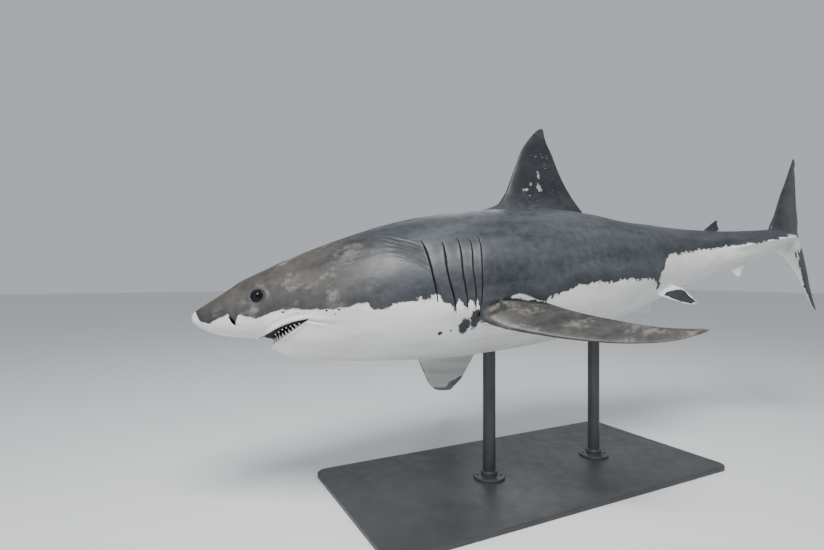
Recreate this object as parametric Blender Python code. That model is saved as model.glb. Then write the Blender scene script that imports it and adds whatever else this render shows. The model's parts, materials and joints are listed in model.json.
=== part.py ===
"""Great white shark, 4 m long, as a still life-size display model on a plain stand.

The body is a loft of rings round a curved spine. A place on the body is written (station, left, up):
the station runs from 0 at the snout to 98 at the tail's upper tip, and all three are in hundredths
of the length. The model swims towards -X with its left side towards -Y, nose down and rolled a little.
The origin is the centre of the stand's underside.
"""

import math

import bmesh
import bpy
import numpy as np
from mathutils import Matrix, Vector

# ---- driving dimensions -------------------------------------------------------------------------
LENGTH = 4.0                       # metres; the tail's upper tip is at 98.7 hundredths of it
PERCENT = LENGTH / 100             # one unit of (station, left, up)
GAP = 0.0003 / PERCENT             # clearance between neighbouring pieces
AXIS_STATION = 30                  # the spine point that the attitude turns about
AXIS_POINT = Vector((-0.36, 0.0, 0.95))
NOSE_DOWN = math.radians(5.3)
ROLL = math.radians(8.5)           # the left side is the higher one

# The spine's turn to the shark's left and its climb, in degrees, at stations along it.
TURN_AT = [0, 14, 28, 42, 56, 70, 79, 85, 100]
TURN = [13, 9.5, 0, 0.8, 1, 13.4, 39, -8, -12]
CLIMB_AT = [0, 28, 55, 85, 100]
CLIMB = [0.7, 0, 0, 1.5, 1.5]

# Body sizes: station, top above the spine, bottom below it, half width.
BODY = np.array([
    (0.3, 0.25, -0.15, 0.00),
    (0.6, 0.62, -0.60, 0.42),
    (1.2, 0.98, -1.10, 0.85),
    (2.2, 1.50, -1.70, 1.42),
    (4.0, 2.40, -2.35, 2.30),
    (5.6, 3.20, -2.75, 2.90),
    (6.6, 3.55, -3.25, 3.20),
    (7.6, 3.90, -4.20, 3.55),
    (9.0, 4.40, -5.05, 4.05),
    (11.5, 5.15, -5.90, 4.90),
    (15.0, 6.05, -6.60, 6.10),
    (20.0, 7.20, -7.40, 7.45),
    (25.0, 7.95, -8.00, 8.25),
    (30.0, 8.28, -8.35, 8.60),
    (36.0, 8.42, -8.50, 8.65),
    (42.0, 8.25, -8.35, 8.25),
    (48.0, 7.50, -7.90, 7.60),
    (55.0, 6.12, -6.75, 6.35),
    (62.0, 5.10, -5.35, 4.90),
    (70.0, 3.75, -3.75, 3.40),
    (76.0, 2.65, -2.60, 2.45),
    (81.0, 1.85, -1.80, 1.80),
    (84.0, 1.50, -1.50, 1.15),
    (87.0, 0.95, -0.95, 0.50),
    (89.0, 0.40, -0.40, 0.15),
])
RING_SIDES = 28
KEEL = (74, 81.5, 88)              # the side keel's start, widest place and end
KEEL_WIDTH = 1.35
KEEL_HEIGHT = 0.55

# The named lengths of the body behind the head: first and last station, and how many rings.
LENGTHS = {
    "neck": (17.5, 28.6, 9),
    "trunk_front": (28.6, 48.0, 11),
    "trunk_rear": (48.0, 66.0, 10),
    "tail_stem": (66.0, 88.7, 15),
}
HEAD_STATIONS = [0.4, 0.6, 0.9, 1.4, 2.1, 3.0, 4.2, 5.4, 6.4, 7.2, 8.2, 9.6, 11.2, 13.2, 15.4]

EYE = (6.78, 1.1)                  # station and height of the eye
EYE_RADIUS = 0.64
EYE_SINK = 0.31                    # how far the ball's centre lies under the skin
EYE_CLEARANCE = 0.02

# The mouth from the side: station and height along the upper lip and the lower lip, back to the
# corner, and the back edge of the jaw piece.
UPPER_LIP = [(6.1, -2.95), (7.1, -2.63), (7.9, -2.28), (8.8, -2.02), (10.0, -1.81), (11.1, -1.78)]
LOWER_LIP = [(11.1, -1.81), (10.5, -2.20), (9.8, -2.62), (8.7, -3.17), (7.9, -3.48), (7.35, -3.78)]
JAW_BACK = [(11.3, -1.79), (12.0, -3.2), (12.7, -8.0)]
TONGUE_AT = (9.4, 0, -3.1)
TONGUE_SIZE = (1.8, 2.1, 0.7)
UPPER_TEETH = 11                   # on each side
LOWER_TEETH = 10
TOOTH_SHARE = 0.38                 # a tooth's height as a share of the open gap
TOOTH_WIDTH = 0.3
TOOTH_INSET = 0.4                  # from the lip's edge in to the row of teeth
TOOTH_ROOT = 0.15                  # how deep a tooth sits in the jaw
TEETH_FROM_FRONT = 0.4             # from the lip's front end to the first tooth
TEETH_FROM_CORNER = 0.7            # from the last tooth to the mouth's corner
CUTTER_REACH = 7                   # half width of a block that crosses the whole head
MOUTH_CUT_FRONT = [(5.0, -9.0), (5.0, -4.0)]
JAW_CHIN = (6.6, -8.0)             # a place in front of the jaw and below it


# ---- places on the body -------------------------------------------------------------------------
def smooth(at, values, x):
    """A smooth curve through the points that never overshoots them."""
    at, values = np.asarray(at, float), np.asarray(values, float)
    x = np.clip(x, at[0], at[-1])
    step = np.diff(at)
    slope = np.diff(values) / step
    tangent = np.zeros_like(values)
    before, after = slope[:-1], slope[1:]
    turning = before * after <= 0
    near, far = 2 * step[1:] + step[:-1], step[1:] + 2 * step[:-1]
    safe_before = np.where(turning, 1, before)
    safe_after = np.where(turning, 1, after)
    tangent[1:-1] = np.where(turning, 0, (near + far) / (near / safe_before + far / safe_after))
    tangent[0], tangent[-1] = slope[0], slope[-1]
    i = np.clip(np.searchsorted(at, x) - 1, 0, len(step) - 1)
    t = (x - at[i]) / step[i]
    return (values[i] * (1 + 2 * t) * (1 - t) ** 2 + step[i] * tangent[i] * t * (1 - t) ** 2
            + values[i + 1] * t * t * (3 - 2 * t) - step[i] * tangent[i + 1] * t * t * (1 - t))


SPINE_AT = np.linspace(0, 100, 401)
SPINE_TURN = np.radians(smooth(TURN_AT, TURN, SPINE_AT))
SPINE_CLIMB = np.radians(smooth(CLIMB_AT, CLIMB, SPINE_AT))
TAILWARD = np.stack([
    np.cos(SPINE_TURN) * np.cos(SPINE_CLIMB),
    -np.sin(SPINE_TURN) * np.cos(SPINE_CLIMB),
    np.sin(SPINE_CLIMB),
], axis=1)
STEPS = (TAILWARD[1:] + TAILWARD[:-1]) / 2 * np.diff(SPINE_AT)[:, None]
SPINE = np.concatenate([np.zeros((1, 3)), np.cumsum(STEPS, axis=0)])
SPINE -= SPINE[np.searchsorted(SPINE_AT, AXIS_STATION)]
ATTITUDE = Matrix.Rotation(-NOSE_DOWN, 3, "Y") @ Matrix.Rotation(-ROLL, 3, "X")


def place(station, left, up):
    """World position of a place on the body. Past the ends the spine runs on straight."""
    inside = min(max(station, 0), 100)
    centre = Vector([np.interp(inside, SPINE_AT, SPINE[:, k]) for k in range(3)])
    turn = np.interp(inside, SPINE_AT, SPINE_TURN)
    climb = np.interp(inside, SPINE_AT, SPINE_CLIMB)
    level = Vector((math.cos(turn), -math.sin(turn), 0))
    tailward = level * math.cos(climb) + Vector((0, 0, math.sin(climb)))
    leftward = Vector((-math.sin(turn), -math.cos(turn), 0))
    upward = leftward.cross(tailward)
    spot = centre + tailward * (station - inside) + leftward * left + upward * up
    return ATTITUDE @ (spot * PERCENT) + AXIS_POINT


def keel(station, height):
    """How far the tail's side keel stands out at this station and height."""
    start, widest, end = KEEL
    run = smooth([start, widest, end], [0, 1, 0], station)
    return KEEL_WIDTH * run * math.exp(-((height / KEEL_HEIGHT) ** 2))


def body_point(station, angle, grow=0):
    """(station, left, up) on the skin. Angle 0 is the left side and 90 degrees is the back."""
    top, bottom, half_width = (smooth(BODY[:, 0], BODY[:, k], station) for k in (1, 2, 3))
    middle, half_height = (top + bottom) / 2, (top - bottom) / 2
    left = (half_width + grow) * math.cos(angle)
    up = middle + (half_height + grow) * math.sin(angle)
    left += math.copysign(keel(station, up - middle), math.cos(angle)) * abs(math.cos(angle))
    return station, left, up


def skin_left(station, up):
    """How far to the left the skin lies at this station and height."""
    top, bottom, half_width = (smooth(BODY[:, 0], BODY[:, k], station) for k in (1, 2, 3))
    share = (up - (top + bottom) / 2) / ((top - bottom) / 2)
    return half_width * math.sqrt(max(0, 1 - share * share))


# ---- making pieces ------------------------------------------------------------------------------
def material(name, colour, roughness, metallic=0.0):
    made = bpy.data.materials.new(name)
    made.use_nodes = True
    shader = made.node_tree.nodes["Principled BSDF"]
    shader.inputs["Base Color"].default_value = (*colour, 1)
    shader.inputs["Roughness"].default_value = roughness
    shader.inputs["Metallic"].default_value = metallic
    return made


def add_object(name, mesh_edit, look=None):
    bmesh.ops.recalc_face_normals(mesh_edit, faces=mesh_edit.faces)
    mesh = bpy.data.meshes.new(name)
    mesh_edit.to_mesh(mesh)
    mesh_edit.free()
    piece = bpy.data.objects.new(name, mesh)
    bpy.context.scene.collection.objects.link(piece)
    if look:
        mesh.materials.append(look)
        mesh.shade_smooth()
        mesh.set_sharp_from_angle(angle=math.radians(40))
    else:
        piece.hide_render = True
        piece.display_type = "WIRE"
    return piece


def loft(rings, mesh_edit=None):
    """A closed body through rings of (station, left, up); a ring of one place is a point."""
    mesh_edit = mesh_edit or bmesh.new()
    made = [[mesh_edit.verts.new(place(*spot)) for spot in ring] for ring in rings]
    for ring, following in zip(made, made[1:]):
        count = max(len(ring), len(following))
        for k in range(count):
            near, next_near = ring[k % len(ring)], ring[(k + 1) % len(ring)]
            far, next_far = following[k % len(following)], following[(k + 1) % len(following)]
            if len(ring) > 1:
                mesh_edit.faces.new((near, next_near, next_far))
            if len(following) > 1:
                mesh_edit.faces.new((near, next_far, far))
    for end in (made[0], made[-1]):
        if len(end) > 1:
            mesh_edit.faces.new(end)
    return mesh_edit


def prism(outline):
    """A block that crosses the head from left to right, from its side view (station, up)."""
    return loft([[(station, side * CUTTER_REACH, up) for station, up in outline] for side in (1, -1)])


def boolean(piece, other, operation="DIFFERENCE"):
    modifier = piece.modifiers.new(other.name, "BOOLEAN")
    modifier.operation = operation
    modifier.object = other
    modifier.solver = "EXACT"


def body_rings(stations, grow=0):
    angles = [2 * math.pi * k / RING_SIDES for k in range(RING_SIDES)]
    return [[body_point(s, a, grow) for a in angles] for s in stations]


def body_length(name, look):
    """One length of the body, with a flat face at each end."""
    first, last, count = LENGTHS[name]
    stations = np.linspace(first, last, count)
    stations[0] += GAP / 2
    stations[-1] -= GAP / 2
    return add_object(name, loft(body_rings(stations)), look)


def flesh_with_clearance():
    """All the lengths as one body, larger by the gap. It trims the fins and rods to the skin."""
    stations = np.unique(np.concatenate([np.linspace(*length) for length in LENGTHS.values()]))
    stations[-1] += GAP
    return add_object("flesh_with_clearance", loft(body_rings(stations, GAP)))


# ---- head, jaw and teeth ------------------------------------------------------------------------
def head_loft():
    last = LENGTHS["neck"][0] - GAP / 2
    return loft([[(BODY[0, 0], 0, BODY[0, 1:3].mean())]] + body_rings(HEAD_STATIONS + [last]))


def tooth(mesh_edit, station, left, up, height, width):
    """A triangular tooth whose root is buried in the jaw; a negative height points down."""
    root = up - math.copysign(TOOTH_ROOT, height)
    half = width / 2
    corners = [(-half, 0), (0, -half / 2), (half, 0), (0, half / 2)]
    base = [(station + along, left + across, root) for along, across in corners]
    loft([base, [(station, left, up + height)]], mesh_edit)


def lip_height(lip, station):
    stations, heights = zip(*sorted(lip))
    return float(np.interp(station, stations, heights))


def teeth(name, lip, other_lip, count):
    """Rows of teeth on both sides along a lip, pointing at the other lip and smaller towards the corner."""
    lip = sorted(lip)
    front, corner = lip[0][0] + TEETH_FROM_FRONT, lip[-1][0] - TEETH_FROM_CORNER
    row = bmesh.new()
    for k in range(count):
        station = front + (corner - front) * (k + 0.5) / count
        up = lip_height(lip, station)
        height = TOOTH_SHARE * (lip_height(other_lip, max(station, LOWER_LIP[-1][0])) - up)
        left = skin_left(station, up) - TOOTH_INSET
        for side in (1, -1):
            tooth(row, station, side * left, up, height, TOOTH_WIDTH * (1 - 0.4 * k / count))
    return add_object(name, row)


def add_head(grey, white):
    head = add_object("head", head_loft(), grey)
    jaw = add_object("lower_jaw", head_loft(), white)
    mouth = add_object("cut_mouth_and_jaw", prism(MOUTH_CUT_FRONT + UPPER_LIP + JAW_BACK))
    behind = [(station - 2 * GAP, up) for station, up in JAW_BACK[1:]]
    keep = add_object("keep_jaw", prism(LOWER_LIP[::-1] + behind + [JAW_CHIN]))
    boolean(head, mouth)
    boolean(jaw, keep, "INTERSECT")
    tongue = bmesh.new()
    bmesh.ops.create_icosphere(tongue, subdivisions=2, radius=1)
    for vert in tongue.verts:
        vert.co = place(*(centre + size * c for centre, size, c in zip(TONGUE_AT, TONGUE_SIZE, vert.co)))
    boolean(jaw, add_object("tongue", tongue), "UNION")
    boolean(head, teeth("upper_teeth", UPPER_LIP, LOWER_LIP, UPPER_TEETH), "UNION")
    boolean(jaw, teeth("lower_teeth", LOWER_LIP, UPPER_LIP, LOWER_TEETH), "UNION")
    return head


def ball(place_at, radius):
    sphere = bmesh.new()
    bmesh.ops.create_uvsphere(sphere, u_segments=16, v_segments=9, radius=radius * PERCENT)
    bmesh.ops.translate(sphere, verts=sphere.verts, vec=place(*place_at))
    return sphere


def add_eyes(head, black):
    station, up = EYE
    left = skin_left(station, up) - EYE_SINK
    for name, side in (("left", 1), ("right", -1)):
        centre = (station, side * left, up)
        add_object(f"eye_{name}", ball(centre, EYE_RADIUS), black)
        boolean(head, add_object(f"cut_eye_{name}", ball(centre, EYE_RADIUS + EYE_CLEARANCE)))


# ---- fins ---------------------------------------------------------------------------------------
EDGE = 0.05                        # thickness of a fin's edge, 2 mm
SWELL_REACH = 1.3                  # how far out the swollen root of a pectoral fin goes
WIDEST_CUT = 1.6                   # rows further apart than this get a cut between them


def section(lead, trail, thickness, spot, sides=7):
    """A ring round one cut through a fin. spot(chord, offset) gives (station, left, up)."""
    chord = trail - lead
    shares = [(1 - math.cos(math.pi * k / sides)) / 2 for k in range(sides + 1)]
    half = [thickness * (2.97 * math.sqrt(x) - 1.26 * x - 3.52 * x ** 2 + 2.84 * x ** 3 - 1.03 * x ** 4) / 2
            + EDGE / 2 for x in shares]
    upper = [spot(lead + chord * x, h) for x, h in zip(shares, half)]
    lower = [spot(lead + chord * x, -h) for x, h in zip(shares, half)]
    return upper + lower[::-1]


def fin_rings(outline, thickness, spot, swell=0):
    """Cuts from root to tip, at each row of the outline (out, lead, trail) and between far rows."""
    out_at, lead, trail = (list(column) for column in zip(*outline))
    cuts = [(a + b) / 2 for a, b in zip(out_at, out_at[1:]) if b - a > WIDEST_CUT] + out_at
    rings = []
    for out in sorted(cuts):
        front, back = smooth(out_at, lead, out), smooth(out_at, trail, out)
        thick = thickness * (back - front) * (1 - 0.35 * max(0, out) / out_at[-1])
        thick *= 1 + swell * math.exp(-max(0, out) / SWELL_REACH)
        rings.append(section(front, back, thick, lambda c, h, out=out: spot(out, c, h)))
    return rings


# (out from the skin, leading edge, trailing edge), in stations for the fins on the midline.
DORSAL = [
    (-1.5, 32.2, 46.4), (0, 32.8, 48.0), (0.24, 34.0, 50.9), (0.45, 35.0, 50.8), (0.7, 36.0, 50.6),
    (1.0, 36.9, 50.2), (1.3, 37.5, 49.9), (1.75, 37.9, 49.5), (2.45, 38.3, 49.1), (4.05, 39.3, 48.2),
    (6.25, 40.7, 47.4), (8.25, 42.0, 46.9), (9.85, 43.5, 46.3), (10.85, 44.6, 46.2), (11.45, 45.4, 46.2),
    (11.65, 45.9, 46.1),
]
SECOND_DORSAL = [
    (-0.5, 72.1, 74.4), (0, 72.5, 74.6), (0.2, 72.7, 75.0), (0.7, 73.4, 74.9), (1.3, 74.2, 74.9),
    (1.7, 74.8, 75.1),
]
ANAL = [
    (-0.5, 74.8, 76.6), (0, 75.1, 76.8), (0.25, 75.3, 77.8), (0.8, 75.5, 77.0), (1.4, 75.8, 76.7),
    (1.75, 76.2, 76.5),
]
TAIL_UPPER = [
    (GAP / 2, 82.4, 91.7), (1.4, 81.4, 92.4), (2.4, 82.3, 92.9), (4.1, 84.3, 93.5), (6.8, 87.8, 94.9),
    (9.0, 91.3, 96.2), (10.7, 94.0, 97.2), (11.6, 95.4, 97.5), (12.0, 96.1, 98.2), (12.9, 97.5, 98.7),
    (13.3, 98.2, 98.7),
]
TAIL_LOWER = [
    (GAP / 2, 82.5, 91.7), (1.4, 82.0, 92.0), (2.9, 83.8, 92.0), (4.9, 86.2, 91.9), (7.9, 88.7, 91.5),
    (10.3, 89.9, 91.6), (11.4, 91.0, 91.8), (11.8, 91.5, 91.8),
]
# Paired fins: (out along the span, leading edge, trailing edge), from the front of the root.
PECTORAL = [
    (-1.8, -0.2, 6.6), (0, 0, 7.0), (1.2, 0.4, 8.5), (2.4, 1.0, 8.9), (4.5, 2.8, 9.6), (8, 5.7, 11.1),
    (12, 9.3, 12.9), (14.5, 12.3, 14.5), (15.3, 14.0, 15.1), (15.6, 14.8, 15.2),
]
PELVIC = [(-1.2, -0.1, 4.0), (0, 0, 4.2), (1.0, 0.7, 5.0), (2.2, 1.9, 4.9), (3.2, 3.0, 4.8), (3.6, 3.7, 4.6)]


def midline_fin(name, outline, thickness, look, sign=1, on_skin=True):
    """A fin in the body's middle plane; sign -1 hangs it below."""
    column = 1 if sign > 0 else 2

    def spot(out, chord, offset):
        base = float(smooth(BODY[:, 0], BODY[:, column], chord)) if on_skin else 0
        return chord, offset, base + sign * out

    return add_object(name, loft(fin_rings(outline, thickness, spot)), look)


def paired_fin(name, outline, thickness, pose, side, look, swell=0):
    """A fin on one side. The angles of its pose are in degrees; side is 1 on the left and -1 on the right."""
    droop, swing = math.radians(pose["droop"]), math.radians(pose["swing"])
    span = outline[-1][0]
    station, left, up = pose["root"]

    def spot(out, chord, offset):
        share = max(0, out) / span
        out, chord = pose["size"] * out, pose["size"] * chord
        along = out * math.cos(swing) - chord * math.sin(swing)
        back = out * math.sin(swing) + chord * math.cos(swing)
        pitch = math.radians(pose["pitch"] + pose["twist"] * share)
        lift = offset * math.cos(pitch) - back * math.sin(pitch) + pose["bend"] * share ** 2
        return (station + back * math.cos(pitch) + offset * math.sin(pitch),
                side * (left + along * math.cos(droop) + lift * math.sin(droop)),
                up - along * math.sin(droop) + lift * math.cos(droop))

    return add_object(name, loft(fin_rings(outline, thickness, spot, swell)), look)


# How each paired fin is held: the front of its root, its size, how far it droops from level, swings
# tailward and pitches nose up, how its pitch twists and how far it bends up towards the tip.
LEFT_PECTORAL = {
    "root": (26.9, 6.8, -4.2), "size": 0.96,
    "droop": 39.5, "swing": 6.2, "pitch": -5, "twist": -16, "bend": 0,
}
RIGHT_PECTORAL = {
    "root": (25.7, 6.6, -4.6), "size": 1.13,
    "droop": 41.4, "swing": -11.1, "pitch": 19.9, "twist": -21, "bend": 3.2,
}
LEFT_PELVIC = {
    "root": (56.4, 3.9, -4.5), "size": 1,
    "droop": 50, "swing": 3, "pitch": -7, "twist": 0, "bend": 0,
}
RIGHT_PELVIC = {
    "root": (57.2, 3.4, -4.6), "size": 1.08,
    "droop": 56, "swing": 18, "pitch": 17, "twist": 4, "bend": 0,
}


# ---- gill slits ---------------------------------------------------------------------------------
# Each slit's top, middle and foot on the left side, as (station, up).
GILL_SLITS = [
    [(22.1, 4.2), (22.0, 1.2), (22.3, -1.6)],
    [(23.8, 4.1), (23.5, 0.6), (24.0, -3.0)],
    [(25.4, 3.9), (24.9, 0.4), (25.2, -3.0)],
    [(26.6, 3.4), (26.0, 0.0), (26.0, -3.1)],
    [(27.7, 3.4), (26.8, -0.3), (26.5, -3.4)],
]
GILL_WIDTH = 0.1
GILL_DEPTH = 0.5


def gill_blade(path, side):
    """A thin curved blade that cuts one slit."""
    path = sorted((up, station) for station, up in path)
    ups, stations = zip(*path)
    rings = []
    for up in np.linspace(ups[0], ups[-1], 6):
        along = float(smooth(ups, stations, up))
        left = skin_left(along, up)
        corners = [(-1, -GILL_DEPTH), (-1, 1), (1, 1), (1, -GILL_DEPTH)]
        rings.append([(along + edge * GILL_WIDTH / 2, side * (left + depth), up) for edge, depth in corners])
    return loft(rings)


def add_gill_slits(neck):
    for side, name in ((1, "left"), (-1, "right")):
        for k, path in enumerate(GILL_SLITS, 1):
            boolean(neck, add_object(f"cut_gill_{name}_{k}", gill_blade(path, side)))


# ---- stand --------------------------------------------------------------------------------------
BASE_SIZE = (1.9, 0.9, 0.02)
BASE_CORNER = 0.06
BASE_CORNER_STEPS = 5
ROD_RADIUS = 0.03
ROD_SIDES = 20
ROD_TOP = -3                       # the rod runs to this height in the body before it is trimmed
ROD_STATIONS = {"front": 33.0, "rear": 50.0}


def add_base(look):
    base = bmesh.new()
    bmesh.ops.create_cube(base, size=1)
    bmesh.ops.scale(base, verts=base.verts, vec=BASE_SIZE)
    bmesh.ops.translate(base, verts=base.verts, vec=(0, 0, BASE_SIZE[2] / 2))
    uprights = [e for e in base.edges if abs(e.verts[0].co.z - e.verts[1].co.z) > 1e-6]
    bmesh.ops.bevel(base, geom=uprights, offset=BASE_CORNER, segments=BASE_CORNER_STEPS,
                    affect="EDGES", profile=0.5)
    add_object("stand_base", base, look)


def add_rod(name, station, flesh, look):
    """An upright rod from the base into the belly, trimmed where it meets the skin."""
    top = place(station, 0, ROD_TOP)
    bottom = BASE_SIZE[2] + GAP * PERCENT
    rod = bmesh.new()
    bmesh.ops.create_cone(rod, cap_ends=True, segments=ROD_SIDES, radius1=ROD_RADIUS, radius2=ROD_RADIUS,
                          depth=top.z - bottom)
    bmesh.ops.translate(rod, verts=rod.verts, vec=(top.x, top.y, (top.z + bottom) / 2))
    boolean(add_object(name, rod, look), flesh)


# ---- the model ----------------------------------------------------------------------------------
def main():
    for old in list(bpy.data.objects):
        bpy.data.objects.remove(old)
    grey = material("slate_skin", (0.16, 0.17, 0.18), 0.45)
    fin_grey = material("dark_fin_skin", (0.10, 0.11, 0.12), 0.45)
    white = material("belly_skin", (0.80, 0.80, 0.78), 0.45)
    black = material("eye", (0.01, 0.01, 0.012), 0.05)
    steel = material("stand_paint", (0.05, 0.05, 0.055), 0.5)

    head = add_head(grey, white)
    add_eyes(head, black)
    lengths = {name: body_length(name, grey) for name in LENGTHS}
    add_gill_slits(lengths["neck"])
    flesh = flesh_with_clearance()

    fins = [
        midline_fin("first_dorsal_fin", DORSAL, 0.10, fin_grey),
        midline_fin("second_dorsal_fin", SECOND_DORSAL, 0.10, fin_grey),
        midline_fin("anal_fin", ANAL, 0.10, white, -1),
        paired_fin("pectoral_fin_left", PECTORAL, 0.10, LEFT_PECTORAL, 1, fin_grey, 1.6),
        paired_fin("pectoral_fin_right", PECTORAL, 0.10, RIGHT_PECTORAL, -1, fin_grey, 1.6),
        paired_fin("pelvic_fin_left", PELVIC, 0.09, LEFT_PELVIC, 1, white),
        paired_fin("pelvic_fin_right", PELVIC, 0.09, RIGHT_PELVIC, -1, white),
    ]
    upper = midline_fin("tail_fin_upper", TAIL_UPPER, 0.12, fin_grey, 1, False)
    lower = midline_fin("tail_fin_lower", TAIL_LOWER, 0.12, fin_grey, -1, False)
    for fin in fins + [upper, lower]:
        boolean(fin, flesh)
    add_base(steel)
    for name, station in ROD_STATIONS.items():
        add_rod(f"stand_rod_{name}", station, flesh, steel)


main()
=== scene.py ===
# %% [markdown]
# # A great white shark on a display stand
#
# The imported model is a frame: it fixes where every part of a four metre shark is and how large.
# This notebook puts the looks round it. One skin covers the whole fish, with its fins, gill slits,
# nostrils and open mouth, and the teeth, the eyes and the stand are pieces of their own.
#
# The frame comes first, in an empty scene.

# %% Load the frame
import json
import math
from collections import namedtuple

import bmesh
import bpy
import numpy as np
from mathutils import Matrix, Vector, noise

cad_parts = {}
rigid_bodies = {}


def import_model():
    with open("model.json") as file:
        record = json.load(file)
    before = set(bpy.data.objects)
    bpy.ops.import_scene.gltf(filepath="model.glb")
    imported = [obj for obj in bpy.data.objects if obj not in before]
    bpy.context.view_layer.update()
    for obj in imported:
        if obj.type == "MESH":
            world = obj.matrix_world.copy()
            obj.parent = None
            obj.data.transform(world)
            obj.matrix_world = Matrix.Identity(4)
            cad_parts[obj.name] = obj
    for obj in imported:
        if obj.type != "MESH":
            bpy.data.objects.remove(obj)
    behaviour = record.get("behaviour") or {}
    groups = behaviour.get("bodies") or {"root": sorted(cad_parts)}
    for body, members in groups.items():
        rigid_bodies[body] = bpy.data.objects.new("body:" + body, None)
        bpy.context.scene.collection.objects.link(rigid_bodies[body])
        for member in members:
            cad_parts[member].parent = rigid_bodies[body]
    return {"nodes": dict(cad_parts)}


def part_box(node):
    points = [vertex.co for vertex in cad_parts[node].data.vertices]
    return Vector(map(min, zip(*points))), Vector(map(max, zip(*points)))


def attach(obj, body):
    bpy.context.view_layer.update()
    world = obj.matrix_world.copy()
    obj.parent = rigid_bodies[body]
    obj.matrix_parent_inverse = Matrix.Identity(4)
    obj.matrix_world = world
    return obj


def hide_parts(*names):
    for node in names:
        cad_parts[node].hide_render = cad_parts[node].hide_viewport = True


for old in list(bpy.data.objects):
    bpy.data.objects.remove(old)
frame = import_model()
print("The frame holds", len(frame["nodes"]), "nodes")
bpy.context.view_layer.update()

# %% [markdown]
# ## Straight first, bent last
#
# The real fish is bent: its tail sweeps to one side. Details such as gill slits are easier to place
# on a straight one. So every piece of flesh is modelled straight, in hundredths of the length, as
# (station, left, up): the station runs from 0 at the snout to 98.7 at the tail's tip. The last step
# sends each point through `bend`, which lays the straight fish along the curved spine.
#
# The spine is a list of turns at stations, joined by a curve that never overshoots.

# %% The curved spine
LENGTH = 4.0
PERCENT = LENGTH / 100
AXIS_STATION = 30
AXIS_POINT = Vector((-0.36, 0.0, 0.95))
NOSE_DOWN = math.radians(5.3)
ROLL = math.radians(8.5)
TURN_AT = [0, 14, 28, 42, 56, 70, 79, 85, 100]
TURN = [13, 9.5, 0, 0.8, 1, 13.4, 39, -8, -12]
CLIMB_AT = [0, 28, 55, 85, 100]
CLIMB = [0.7, 0, 0, 1.5, 1.5]


def smooth(at, values, x):
    """A smooth curve through the points that never overshoots them."""
    at, values = np.asarray(at, float), np.asarray(values, float)
    x = np.clip(x, at[0], at[-1])
    step = np.diff(at)
    slope = np.diff(values) / step
    tangent = np.zeros_like(values)
    before, after = slope[:-1], slope[1:]
    turning = before * after <= 0
    near, far = 2 * step[1:] + step[:-1], step[1:] + 2 * step[:-1]
    safe_before = np.where(turning, 1, before)
    safe_after = np.where(turning, 1, after)
    tangent[1:-1] = np.where(turning, 0, (near + far) / (near / safe_before + far / safe_after))
    tangent[0], tangent[-1] = slope[0], slope[-1]
    i = np.clip(np.searchsorted(at, x) - 1, 0, len(step) - 1)
    t = (x - at[i]) / step[i]
    return (values[i] * (1 + 2 * t) * (1 - t) ** 2 + step[i] * tangent[i] * t * (1 - t) ** 2
            + values[i + 1] * t * t * (3 - 2 * t) - step[i] * tangent[i + 1] * t * t * (1 - t))


spine_at = np.linspace(0, 100, 401)
spine_turn = np.radians(smooth(TURN_AT, TURN, spine_at))
spine_climb = np.radians(smooth(CLIMB_AT, CLIMB, spine_at))
tailward = np.stack([
    np.cos(spine_turn) * np.cos(spine_climb),
    -np.sin(spine_turn) * np.cos(spine_climb),
    np.sin(spine_climb),
], axis=1)
steps = (tailward[1:] + tailward[:-1]) / 2 * np.diff(spine_at)[:, None]
spine = np.concatenate([np.zeros((1, 3)), np.cumsum(steps, axis=0)])
spine -= spine[np.searchsorted(spine_at, AXIS_STATION)]
attitude = np.array(Matrix.Rotation(-NOSE_DOWN, 3, "Y") @ Matrix.Rotation(-ROLL, 3, "X"))


def bend(spots):
    """World positions, in metres, of an array of (station, left, up)."""
    spots = np.atleast_2d(np.asarray(spots, float))
    station = np.clip(spots[:, 0], 0, 100)
    centre = np.stack([np.interp(station, spine_at, spine[:, k]) for k in range(3)], axis=1)
    turn = np.interp(station, spine_at, spine_turn)
    climb = np.interp(station, spine_at, spine_climb)
    back = np.stack([np.cos(turn) * np.cos(climb), -np.sin(turn) * np.cos(climb), np.sin(climb)], axis=1)
    left = np.stack([-np.sin(turn), -np.cos(turn), 0 * turn], axis=1)
    up = np.cross(left, back)
    beyond = spots[:, 0] - station
    world = centre + back * beyond[:, None] + left * spots[:, 1:2] + up * spots[:, 2:3]
    return world @ attitude.T * PERCENT + np.array(AXIS_POINT)


print("The snout's tip is at", np.round(bend([(0.3, 0, 0)])[0], 3))

# %% [markdown]
# ## The body's sizes
#
# A shark's trunk is close to an ellipse at every station. Three numbers say how large: the top and
# the bottom, measured from the spine, and the half width. The tail's stem also has a sharp keel on
# each side. Past station 86 the body thins into the web between the tail's two lobes.
#
# The sizes are read many thousands of times, so they are worked out once, in a fine table. Each row
# below is a station, the top, the bottom and the half width.

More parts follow.
